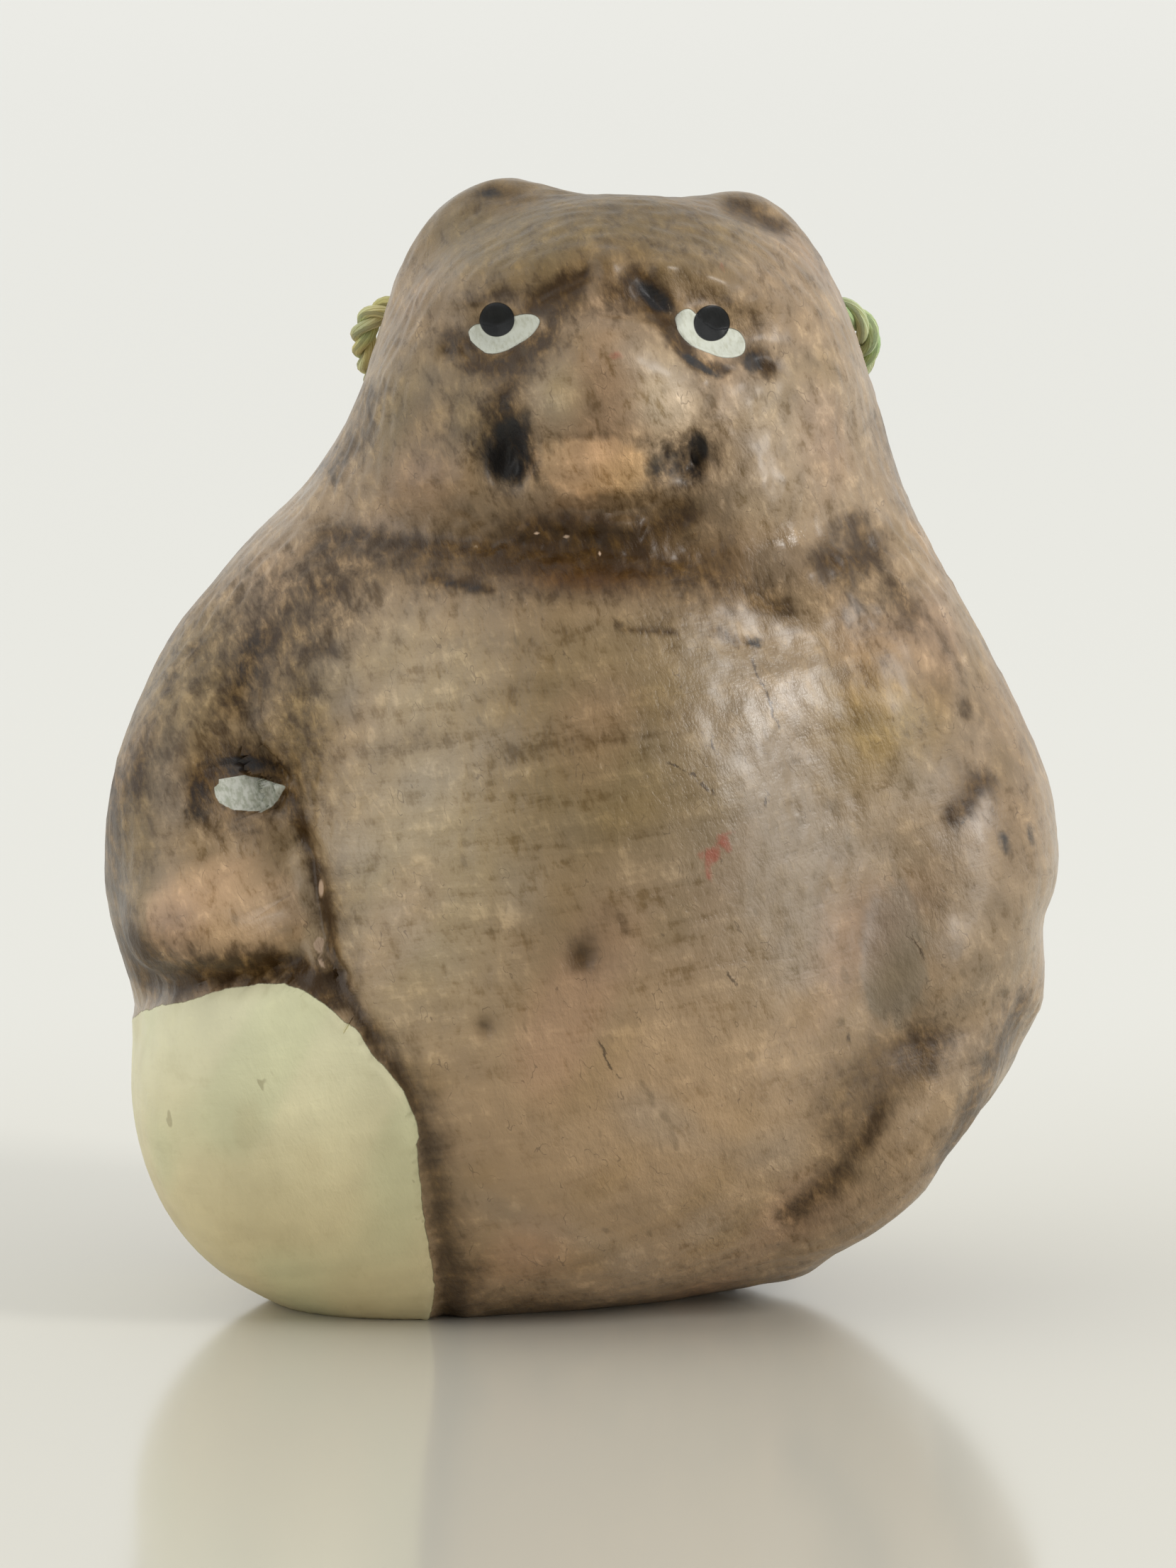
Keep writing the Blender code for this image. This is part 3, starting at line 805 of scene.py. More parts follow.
# Broad areas of paint on the sheet, among them painted shadow under the chin and painted highlight and sheen on
# the right: place, half sizes, turn, paint, strength
AREAS = (
    ("chest", 850, 950, 420, 130, 0, "brown", 0.9),
    ("chest_left", 600, 950, 110, 90, 0, "tan", 0.6),
    ("chest_middle", 880, 930, 190, 80, 0, "olive_brown", 0.7),
    ("belly_left", 620, 1250, 150, 220, 0, "tan", 0.8),
    ("belly_right", 1060, 1230, 190, 230, 0, "grey_brown", 0.8),
    ("belly_middle", 850, 1110, 150, 120, -14, "olive_brown", 0.85),
    ("round_navel", 850, 1340, 170, 110, 0, "brown", 0.75),
    ("belly_low", 860, 1580, 290, 170, 0, "warm_tan", 0.85),
    ("belly_bottom", 860, 1800, 330, 80, 0, "warm_tan", 0.85),
    ("head", 870, 470, 420, 300, 0, "brown", 0.85),
    ("forehead", 860, 320, 250, 90, 0, "olive", 0.9),
    ("forehead_left", 690, 335, 90, 60, 0, "olive", 0.7),
    ("forehead_right", 1110, 380, 60, 80, 30, "brown", 0.7),
    ("left_cheek", 600, 590, 110, 100, 0, "olive_brown", 0.9),
    ("left_jowl", 600, 680, 90, 45, 0, "brown", 0.6),
    # right_cheek and right_jowl: pinkish paint with painted sheen from the light on the right
    ("right_cheek", 1110, 580, 110, 90, 0, "pink_brown", 0.9),
    ("right_jowl", 1090, 700, 100, 50, 0, "pink_brown", 0.7),
    ("nose", 850, 530, 115, 95, 0, "brown", 0.9),
    # nose_ridge and nose_right: painted highlight on the lit right side of the snout
    ("nose_ridge", 900, 505, 40, 26, 0, "pink_brown", 0.5),
    ("nose_right", 940, 570, 45, 60, 0, "pale_highlight", 0.7),
    ("nose_left", 790, 555, 34, 40, 0, "tan", 0.5),
    ("under_snout", 840, 610, 100, 16, 0, "warm_tan", 0.5),
    ("lip", 838, 658, 92, 42, 0, "orange_clay", 1.0),
    # chin_band, pocket and under_pocket: painted shadow under the chin and lip; jowl_shade: painted shade under
    # the right jowl
    ("chin_band", 850, 790, 330, 44, 2, "umber", 0.7),
    ("jowl_shade", 945, 735, 62, 34, -28, "umber", 0.85),
    ("pocket", 812, 758, 100, 36, 2, "shadow_dark_umber", 0.97),
    ("under_pocket", 826, 812, 104, 24, 0, "shadow_rust", 0.95),
    # right_shoulder: pinkish paint with painted sheen from the light on the right
    ("right_shoulder", 1360, 900, 90, 110, 0, "pink_brown", 0.8),
    ("right_arm", 1400, 1080, 90, 160, 0, "brown", 0.8),
    ("tan_right", 1330, 1300, 110, 130, 0, "grey_brown", 0.6),
    ("olive_right", 1245, 1010, 80, 90, 10, "ochre", 0.75),
    ("right_paw_round", 1290, 1340, 80, 120, 0, "brown", 0.6),
    ("right_paw", 1260, 1345, 50, 108, 0, "grey_brown", 1.0),
    ("right_leg", 1260, 1680, 150, 130, -30, "brown", 0.8),
    ("left_arm", 270, 960, 90, 140, 0, "olive_brown", 0.8),
    ("left_flank", 190, 1180, 40, 160, 0, "olive", 0.7),
    ("inner_arm", 440, 1010, 50, 100, 0, "ochre", 0.7),
    ("left_paw", 320, 1288, 120, 80, 0, "warm_tan", 1.0),
    ("spout_hollow", 335, 1108, 88, 52, 8, "umber", 0.9),
)


# Where the paint is dabbed like fur instead of brushed across
FURRY = ((860, 500, 430, 330, 0, 1.0), (300, 1000, 190, 260, 12, 1.0), (1370, 930, 170, 220, -20, 1.0),
         (330, 1290, 140, 90, 0, 0.8), (430, 850, 160, 90, -20, 1.0), (1320, 1330, 130, 150, 0, 0.8),
         (1240, 850, 150, 70, 25, 1.0), (1180, 1680, 170, 90, -35, 0.7))

def tones(p):
    """The broad colour of each point's paint, its painted shadow, highlight and sheen included, as light."""
    x, y = on_sheet(p)
    out = np.broadcast_to(linear((158, 134, 104)), (len(p), 3)).copy()
    out = out * (1 + 0.10 * ripple(p, 14.0, 21) + 0.07 * ripple(p, 5.0, 22))[:, None]
    front = painted(p)
    for _, cx, cy, rx, ry, turn, paint, much in AREAS:
        near = spot(x, y, cx, cy, rx, ry, turn)
        if much >= 1:                                  # a patch with an edge
            near = step(near + 0.09 * ripple(p, 1.6, 28) + 0.06 * ripple(p, 0.8, 29), 0.30, 0.56)
        share = (np.minimum(1.25 * near, 1) * min(much, 1) * front)[:, None]
        out += (linear(PAINTS[paint]) - out) * share
    # here pinker, there greyer, with softer and harder clouds
    pink = np.clip(ripple(p, 8.0, 23) - 0.2, 0, 1)[:, None]
    out = out * (1 + pink * np.array((0.07, 0.0, 0.03)))
    grey = np.clip(ripple(p, 6.0, 24) - 0.25, 0, 1)[:, None] * 0.22
    out += (out.mean(1)[:, None] * np.array((1.05, 1.0, 0.92)) - out) * grey
    olive = np.clip(ripple(p, 4.5, 25) - 0.2, 0, 1)[:, None] * 0.6
    out += (out * np.array((0.84, 0.80, 0.64)) - out) * olive
    much = 0.6 + 0.8 * furry(p)
    out = out * (1 + much * (0.09 * ripple(p, 2.4, 26) + 0.08 * ripple(p, 1.3, 27)))[:, None]
    return np.clip(out, 0, 1)


def furry(p):
    x, y = on_sheet(p)
    fur = np.zeros(len(p))
    for cx, cy, rx, ry, turn, much in FURRY:
        fur = np.maximum(fur, much * np.minimum(1, 1.5 * spot(x, y, cx, cy, rx, ry, turn)))
    return fur * painted(p) + (1 - painted(p)) * 0.5


def calm(p):
    x, y = on_sheet(p)
    quiet = np.zeros(len(p))
    for cx, cy, rx, ry, turn, much in CALM:
        quiet = np.maximum(quiet, much * np.minimum(1, 1.3 * spot(x, y, cx, cy, rx, ry, turn)))
    return quiet * painted(p)


def creams(p):
    """The colour of the flask's thick paint, greener here and browner there."""
    x, y = on_sheet(p)
    down = step(y, 1420, 1760)[:, None]
    out = linear((228, 224, 188)) * (1 - down) + linear((220, 206, 164)) * down
    green = step(ripple(p, 7.0, 41), -0.1, 0.9)[:, None] * 0.5
    out = out + (linear((210, 212, 172)) - out) * green
    brown = step(ripple(p, 4.0, 42), 0.5, 1.4)[:, None] * 0.22
    out = out + (linear((190, 172, 130)) - out) * brown
    return out * (1 + 0.03 * ripple(p, 2.0, 43))[:, None]


# Dark wash, brushed on and rubbed off again, and painted shade: lines and patches of
# the sheet, how wide, and how much of it is left
WASH_AND_SHADE_LINES = (
    # chin to right_of_chin_top: dark wash and painted shadow under the overhanging chin and jowls
    ("chin", ((420, 770), (575, 785), (700, 795), (836, 800), (930, 802), (1030, 812)), 30, 0.55),
    ("chin_low", ((560, 822), (700, 832), (836, 835), (1000, 850), (1130, 862)), 24, 0.35),
    ("chin_pocket", ((690, 758), (760, 752), (830, 756), (915, 770)), 34, 1.0),
    ("chin_line", ((560, 765), (700, 775), (830, 775), (930, 778)), 14, 0.85),
    ("jowl_streak", ((860, 775), (935, 740), (1000, 712)), 26, 0.75),
    ("right_of_pocket", ((900, 800), (1000, 816), (1130, 845)), 26, 0.5),
    ("right_of_chin", ((1130, 800), (1190, 788), (1262, 776)), 28, 1.0),
    ("right_of_chin_top", ((1150, 765), (1190, 745), (1225, 735)), 22, 0.6),
    ("right_jaw", ((1190, 710), (1225, 745), (1255, 790)), 22, 0.6),
    ("left_of_chin", ((440, 748), (510, 754), (580, 768)), 14, 0.8),
    ("left_dab_1", ((425, 830), (450, 832), (490, 838)), 12, 0.75),
    ("left_dab_2", ((420, 916), (450, 918), (485, 925)), 10, 0.7),
    ("chest_streak", ((590, 814), (640, 822), (705, 836)), 8, 1.0),
    ("chest_dab_1", ((860, 877), (900, 890), (965, 892)), 9, 0.8),
    ("chest_dab_2", ((990, 890), (1030, 898), (1080, 912)), 11, 0.8),
    ("chest_dab_3", ((1050, 850), (1090, 858), (1130, 862)), 10, 0.7),
    ("belly_band", ((640, 1085), (760, 1060), (900, 1030), (1020, 1000)), 30, 0.28),
    ("neck_left", ((540, 520), (500, 620), (450, 700)), 30, 0.6),
    ("neck_right", ((1235, 560), (1255, 640), (1290, 720)), 14, 0.55),
    ("arm_groove", ((395, 870), (370, 905), (345, 950), (328, 1000), (322, 1062)), 22, 0.75),
    ("over_spout", ((285, 1085), (320, 1070), (370, 1075), (415, 1095)), 15, 1.0),
    ("left_of_spout", ((300, 1080), (282, 1110), (275, 1135), (290, 1158)), 17, 0.95),
    ("under_spout", ((270, 1150), (320, 1175), (380, 1172)), 16, 0.45),
    ("paw_groove", ((405, 1100), (420, 1150), (432, 1183), (451, 1251), (464, 1303), (472, 1360),
                    (495, 1410), (532, 1475)), 14, 0.95),
    ("beside_groove", ((465, 1180), (480, 1290), (510, 1390)), 26, 0.4),
    ("flask_groove", ((505, 1440), (545, 1495), (585, 1560), (608, 1625), (622, 1700), (634, 1780),
                      (642, 1860), (646, 1950)), 22, 0.8),
    ("flask_dapple", ((520, 1430), (600, 1540), (640, 1680), (665, 1850)), 36, 0.4),
    ("over_flask", ((185, 1396), (232, 1384), (300, 1374), (385, 1362), (440, 1380),
                    (495, 1432)), 29, 1.35),
    ("paw_end", ((180, 1300), (200, 1350), (240, 1378)), 22, 0.9),
    ("left_flank", ((160, 1060), (158, 1200), (178, 1340), (190, 1410)), 26, 0.75),
    ("left_flank_dab", ((200, 1050), (195, 1090), (190, 1130)), 9, 0.7),
    ("left_arm_dab_1", ((288, 900), (275, 915), (262, 935)), 9, 0.7),
    ("left_arm_dab_2", ((250, 935), (240, 960), (228, 985)), 8, 0.6),
    ("under_right_paw", ((1255, 1480), (1300, 1482), (1345, 1450)), 32, 0.8),
    ("right_paw_side", ((1250, 1250), (1240, 1310), (1244, 1380), (1262, 1440)), 28, 0.15),
    ("leg_top", ((1252, 1540), (1232, 1592), (1195, 1640)), 18, 0.85),
    ("leg_low", ((1210, 1628), (1165, 1672), (1130, 1700), (1080, 1728)), 25, 0.85),
    ("leg_dapple", ((1290, 1470), (1220, 1560), (1130, 1640)), 55, 0.6),
    ("hip", ((1458, 1385), (1435, 1430), (1400, 1500), (1350, 1604), (1310, 1680)), 24, 0.8),
    ("right_arm", ((1392, 1072), (1382, 1106), (1358, 1138), (1318, 1168)), 23, 1.05),
    ("right_arm_dab", ((1366, 980), (1363, 1000), (1360, 1024)), 7, 0.8),
    ("right_arm_streak", ((1252, 802), (1276, 850), (1302, 884)), 19, 0.6),
    # under_left_brow, left_brow_dark, left_brow_low, brow_right and between_brows: dark wash and painted shade
    # under the brows
    ("under_left_brow", ((640, 432), (690, 418), (763, 412), (815, 390), (845, 378)), 15, 0.6),
    ("left_brow_dark", ((750, 428), (800, 402), (842, 378)), 17, 1.0),
    ("left_brow_low", ((770, 450), (800, 430), (830, 415)), 15, 0.6),
    ("brow_right", ((880, 374), (904, 400), (930, 424), (956, 446)), 20, 1.4),
    ("right_eye_side", ((925, 420), (940, 448), (952, 478), (980, 506)), 12, 1.0),
    ("over_snout", ((755, 492), (790, 452), (850, 434), (905, 440), (955, 470)), 14, 0.5),
    ("between_brows", ((835, 408), (890, 415), (935, 422)), 24, 0.75),
    ("right_lid", ((955, 428), (1000, 418), (1050, 434), (1078, 480)), 10, 0.35),
    ("right_eye_rim", ((940, 440), (952, 478), (983, 512), (1040, 524)), 11, 1.0),
    ("left_eye_rim", ((652, 470), (680, 503), (725, 505), (768, 470)), 11, 0.85),
    ("left_lid", ((655, 450), (672, 428), (740, 426), (772, 440)), 10, 0.1),
    ("right_eye_tail", ((1040, 488), (1068, 510), (1108, 538)), 22, 1.0),
    ("left_eye_tail", ((646, 452), (636, 480), (646, 515)), 17, 0.8),
    # left_brow_line: painted shade under the left brow
    ("left_brow_line", ((726, 436), (768, 433), (802, 416), (822, 394)), 16, 1.1),
    ("left_eye_low", ((642, 508), (672, 518), (712, 512), (742, 492), (768, 462)), 16, 0.9),
    ("left_eye_inner", ((782, 440), (776, 475), (748, 506)), 17, 0.65),
    # snout_left: painted shade down the left side of the snout
    ("snout_left", ((760, 480), (730, 522), (714, 568), (712, 625)), 26, 0.75),
    ("snout_right", ((972, 500), (998, 545), (1000, 605)), 18, 0.36),
    ("ear", ((1012, 284), (1065, 303), (1118, 330)), 15, 0.85),
    ("ear_edge", ((1118, 300), (1150, 345), (1175, 400)), 10, 0.35),
    ("crown", ((660, 262), (860, 285), (1080, 288)), 24, 0.4),
    ("left_ear", ((640, 300), (690, 275), (750, 290)), 20, 0.4),
    ("nostril_line", ((770, 618), (850, 612), (930, 622)), 10, 0.4),
    ("lip_left", ((752, 640), (755, 670), (775, 698)), 8, 0.5),
    ("lip_right", ((925, 650), (920, 690), (880, 702)), 11, 0.5),
    ("belly_right_fold", ((1385, 1180), (1340, 1240), (1310, 1300)), 18, 0.3),
    ("over_navel", ((842, 1281), (866, 1287), (881, 1304), (887, 1328)), 11, 0.5),
    # underside: darker along the bottom edge
    ("underside", ((640, 1838), (860, 1845), (1050, 1825), (1250, 1760)), 22, 0.45),
)
WASH_AND_SHADE_PATCHES = (
    # left_eye and right_eye: dark wash and painted shade in the eye sockets
    ("left_eye", 700, 490, 90, 40, -6, 0.4),
    ("right_eye", 1012, 470, 96, 54, 6, 0.36),
    ("forehead", 870, 330, 230, 60, 0, 0.36),
    ("left_mouth_corner", 717, 632, 44, 62, 0, 0.8),
    ("right_mouth_corner", 970, 645, 58, 46, 0, 0.62),
    # chin_band: painted shadow under the chin
    ("chin_band", 770, 785, 260, 40, 2, 0.35),
    ("left_of_mouth", 640, 585, 60, 70, 20, 0.22),
    ("left_shoulder", 440, 850, 120, 80, -20, 0.6),
    ("left_arm", 330, 960, 110, 120, 0, 0.45),
    ("inner_arm", 430, 1030, 36, 120, 0, 0.42),
    ("right_shoulder", 1240, 850, 120, 56, 25, 0.46),
    ("right_upper_arm", 1350, 960, 60, 90, 0, 0.3),
    ("chest_dab", 590, 1045, 45, 20, 0, 0.42),
    ("navel", 821, 1349, 22, 23, 0, 0.85),
    ("round_navel", 826, 1347, 58, 54, 0, 0.36),
    ("small_pit", 686, 1449, 16, 16, 0, 0.5),
    ("round_small_pit", 686, 1449, 34, 30, 0, 0.25),
    ("navel_dab", 690, 1300, 30, 24, 0, 0.3),
    ("round_spout", 345, 1112, 84, 50, 8, 0.55),
    ("left_arm_edge", 205, 1090, 44, 90, 0, 0.4),
    ("right_paw", 1262, 1350, 48, 100, 0, 0.14),
    ("under_right_paw", 1300, 1480, 70, 44, -14, 0.65),
    ("right_of_belly_low", 1190, 1500, 60, 70, 30, 0.3),
    # bottom: darker towards the bottom
    ("bottom", 850, 1800, 300, 45, 0, 0.3),
    ("left_paw_dabs", 255, 1325, 60, 26, 0, 0.4),
    ("right_side", 1440, 1180, 40, 70, 0, 0.35),
)
# Near-black marks: name, place, half sizes, turn, strength; brow_right is painted shade under the right brow
INK_AND_SHADE = (("left_mouth_corner", 717, 636, 36, 52, 4, 1.0),
       ("left_corner_halo", 716, 632, 42, 58, 0, 0.5),
       ("left_corner_tail", 713, 580, 12, 26, 0, 0.45),
       ("right_mouth_corner", 985, 634, 17, 26, 12, 0.95),
       ("right_mouth_low", 976, 664, 20, 12, 0, 0.7),
       ("right_mouth_dab", 948, 652, 30, 20, -20, 0.65),
       ("right_corner_halo", 968, 645, 44, 38, 0, 0.5),
       ("brow_right", 926, 422, 42, 13, 40, 0.9),
       ("eye_rim", 985, 514, 34, 6, 30, 0.8),
       ("under_left_eye", 708, 506, 12, 9, 0, 0.5),
       ("navel", 821, 1348, 10, 11, 0, 0.15),
       ("left_ear_hollow", 693, 272, 18, 7, 0, 0.7),
       ("right_eye_corner", 1062, 512, 15, 15, 35, 0.7),
       ("left_eye_corner", 637, 496, 8, 15, 10, 0.45),
       ("arm", 352, 935, 18, 56, 18, 0.45),
       ("spout_top", 350, 1078, 50, 12, 8, 0.8),
       ("spout_left", 282, 1128, 18, 30, 0, 0.6),
       ("chest_streak", 650, 826, 46, 5, 10, 0.5),
       ("chest_spot", 1066, 906, 12, 6, 10, 0.9),
       ("left_neck", 460, 650, 30, 40, -30, 0.35),
       ("arm_pit_1", 1417, 1187, 9, 14, -12, 1.0),
       ("arm_pit_2", 1455, 1175, 7, 14, -8, 0.85))


def washes_and_shade(p, deep):
    x, y = on_sheet(p)
    front = painted(p)
    wobble = np.clip(1 + 0.22 * ripple(p, 2.2, 31) + 0.15 * ripple(p, 1.0, 32), 0.4, 2)
    brown, ink_and_shade = np.zeros(len(p)), np.zeros(len(p))
    for _, line, wide, much in WASH_AND_SHADE_LINES:
        line = smooth_line(line)
        near = ((x > line[:, 0].min() - 3 * wide - 9) & (x < line[:, 0].max() + 3 * wide + 9)
                & (y > line[:, 1].min() - 3 * wide - 9) & (y < line[:, 1].max() + 3 * wide + 9))
        found = near_line(x[near], y[near], line, wide * wobble[near], 1.4 * wide)
        brown[near] = 1 - (1 - brown[near]) * (1 - np.minimum(much * found, 1))
    for _, cx, cy, rx, ry, turn, much in WASH_AND_SHADE_PATCHES:
        brown = 1 - (1 - brown) * (1 - much * np.minimum(1, 1.2 * spot(x, y, cx, cy, rx, ry, turn)))
    for _, cx, cy, rx, ry, turn, much in INK_AND_SHADE:
        ink_and_shade = np.maximum(ink_and_shade, much * np.minimum(1.0, 1.5 * spot(x, y, cx, cy, rx, ry, turn) * wobble))
    # dark wash pooled in creases and cut hollows, and painted shade there
    hollow_wash_and_shade = 0.5 * step(deep, 0.5, 1.7) + 0.25 * np.clip(-carving(p) / 0.8, 0, 1)
    behind_too = (1 - front) * np.clip(0.22 + 0.3 * ripple(p, 12.0, 33), 0, 0.55)
    return np.maximum(brown * front + behind_too, hollow_wash_and_shade), ink_and_shade * front


# Thin cracks: their lines on the sheet
CRACKS = (((1057, 926), (1080, 975), (1103, 1031)), ((938, 1073), (975, 1092), (1011, 1123)),
          ((1080, 1120), (1081, 1142)), ((1025, 1366), (1043, 1394)), ((1287, 1316), (1305, 1357)),
          ((841, 1465), (855, 1497), (878, 1525)), ((1195, 1447), (1196, 1474)),
          ((1002, 1035), (1012, 1062)), ((845, 1020), (853, 1030)), ((1366, 1150), (1352, 1166)))
# Chips down to the pale clay, painted glints on the chin, and spots of red: ovals of the sheet
# Where the varnish is thickest
GLOSSY = ((1118, 752, 30, 22, 1.0), (1100, 985, 70, 60, 0.5), (1186, 1170, 30, 26, 0.7), (1200, 1232, 50, 34, 0.5),
          (1145, 635, 10, 10, 0.8), (420, 1490, 30, 14, 0.6))
# Where the brushing is quieter
CALM = ((860, 1600, 330, 190, 0, 0.6), (1180, 1560, 160, 160, 0, 0.5), (1262, 1345, 70, 110, 0, 0.8),
        (320, 1290, 130, 80, 0, 0.35), (870, 560, 160, 130, 0, 0.3), (1380, 1200, 110, 170, 0, 0.4),
        (1100, 1180, 150, 150, 0, 0.25), (870, 275, 340, 60, 0, 0.7), (812, 772, 190, 46, 2, 0.6),
        (1190, 785, 80, 40, 0, 0.5), (1350, 910, 90, 150, -20, 0.6), (821, 1345, 64, 60, 0, 0.85),
        (928, 424, 60, 34, 38, 0.8), (700, 500, 90, 34, 0, 0.5), (1062, 505, 50, 34, 30, 0.6),
        (1370, 1120, 60, 60, 0, 0.6), (686, 1449, 30, 30, 0, 0.8), (785, 418, 80, 30, -22, 0.65),
        (860, 330, 300, 90, 0, 0.35))
# the pale spots on the chin are painted glints, the others chips down to the pale clay
CHIPS_AND_GLINTS = ((453, 1253, 3.6, 12, 0), (450, 1332, 8, 11, 0), (453, 1352, 5, 15, -14),
         (757, 752, 4, 2.2, 0), (799, 757, 5.5, 2.4, 8), (846, 781, 2, 3.2, 0), (745, 849, 2, 5, 20))
REDS = ((1018, 375, 4, 6, 0), (865, 503, 9, 6, 0), (1019, 1184, 12, 10, -40), (1004, 1208, 12, 11, -40),
        (1011, 1197, 11, 8, -40),
        (998, 1231, 5, 10, 0), (1036, 1170, 4, 4, 0), (988, 1203, 4, 5, 0), (1027, 1197, 5, 6, 0))


def cracks_near(p):
    """How far points are beside the nearest crack, and inside its ends, in mm."""
    x, y = on_sheet(p)
    beside, ends, best = np.full(len(p), 9.0), np.zeros(len(p)), np.full(len(p), 1e9)
    for line in CRACKS:
        run, parts = 0.0, np.array(line, float)
        long = np.hypot(*np.diff(parts, axis=0).T)
        for (ax, ay), (bx, by), one in zip(parts[:-1], parts[1:], long):
            ex, ey = (bx - ax) / one, (by - ay) / one
            free = (x - ax) * ex + (y - ay) * ey
            t = np.clip(free, 0, one)
            away = np.hypot(x - ax - t * ex, y - ay - t * ey)
            inside = np.minimum(run + free, long.sum() - run - free)
            closer = away < best
            best = np.where(closer, away, best)
            beside = np.where(closer, (x - ax) * ey - (y - ay) * ex, beside)
            ends = np.where(closer, inside, ends)
            run += one
    front = p[:, 1] < 2.0
    return (np.where(front, np.clip(beside, -90, 90), 90) * SQUARE,
            np.where(front & (best < 60), ends, -20) * SQUARE)


def ovals(p, which):
    """How far points are inside the nearest of some ovals, in mm."""
    x, y = on_sheet(p)
    inside = np.full(len(p), -40.0)
    for cx, cy, rx, ry, turn in which:
        c, s = math.cos(math.radians(turn)), math.sin(math.radians(turn))
        dx, dy = x - cx, y - cy
        r = np.hypot((dx * c + dy * s) / rx, (dy * c - dx * s) / ry)
        inside = np.maximum(inside, (1 - r) * min(rx, ry))
    return np.where(p[:, 1] < 2.0, inside, -40.0) * SQUARE


def clay_attributes(bell):
    mesh = bell.data
    count = len(mesh.vertices)
    flat = np.empty(count * 3, np.float32)
    mesh.vertices.foreach_get("co", flat)
    p = flat.reshape(-1, 3).astype(float) * 1000 - SHIFT
    mesh.vertices.foreach_get("normal", flat)
    normal = flat.reshape(-1, 3).astype(float)
    x, y = on_sheet(p)
    flask, mouth, white, pupil = paint_edges(p)
    # how deep each point lies in a crease or hollow; the darkening it brings is painted shade as well as pooled
    # wash
    deep = (np.clip(1 - body(p + normal * 1.3) / 1.3, 0, 2)
            + 0.6 * np.clip(1 - body(p + normal * 3.2) / 3.2, 0, 2))
    brown, ink_and_shade = washes_and_shade(p, deep)
    inner = step(-body(p), 1.2, 1.8)
    fur = furry(p)
    beside, ends = cracks_near(p)
    store(mesh, "edges", np.stack([flask, mouth, white], axis=1))
    store(mesh, "marks", np.stack([pupil, brown, ink_and_shade], axis=1))
    store(mesh, "worn", np.stack([fur, inner, ovals(p, REDS)], axis=1))
    store(mesh, "breaks_and_glints", np.stack([beside, ends, ovals(p, CHIPS_AND_GLINTS)], axis=1))
    store(mesh, "quiet", calm(p))
    shiny = np.zeros(count)
    for cx, cy, rx, ry, much in GLOSSY:
        shiny = np.maximum(shiny, much * spot(x, y, cx, cy, rx, ry, 0))
    store(mesh, "shiny", shiny * facing(p))
    store(mesh, "tone", tones(p))
    store(mesh, "cream", creams(p))
    round_it = np.hypot(p[:, 0], p[:, 1]) + 1e-6
    store(mesh, "brush", np.stack([p[:, 0] / round_it, p[:, 1] / round_it,
                                   p[:, 2] - 0.17 * p[:, 0]], axis=1))


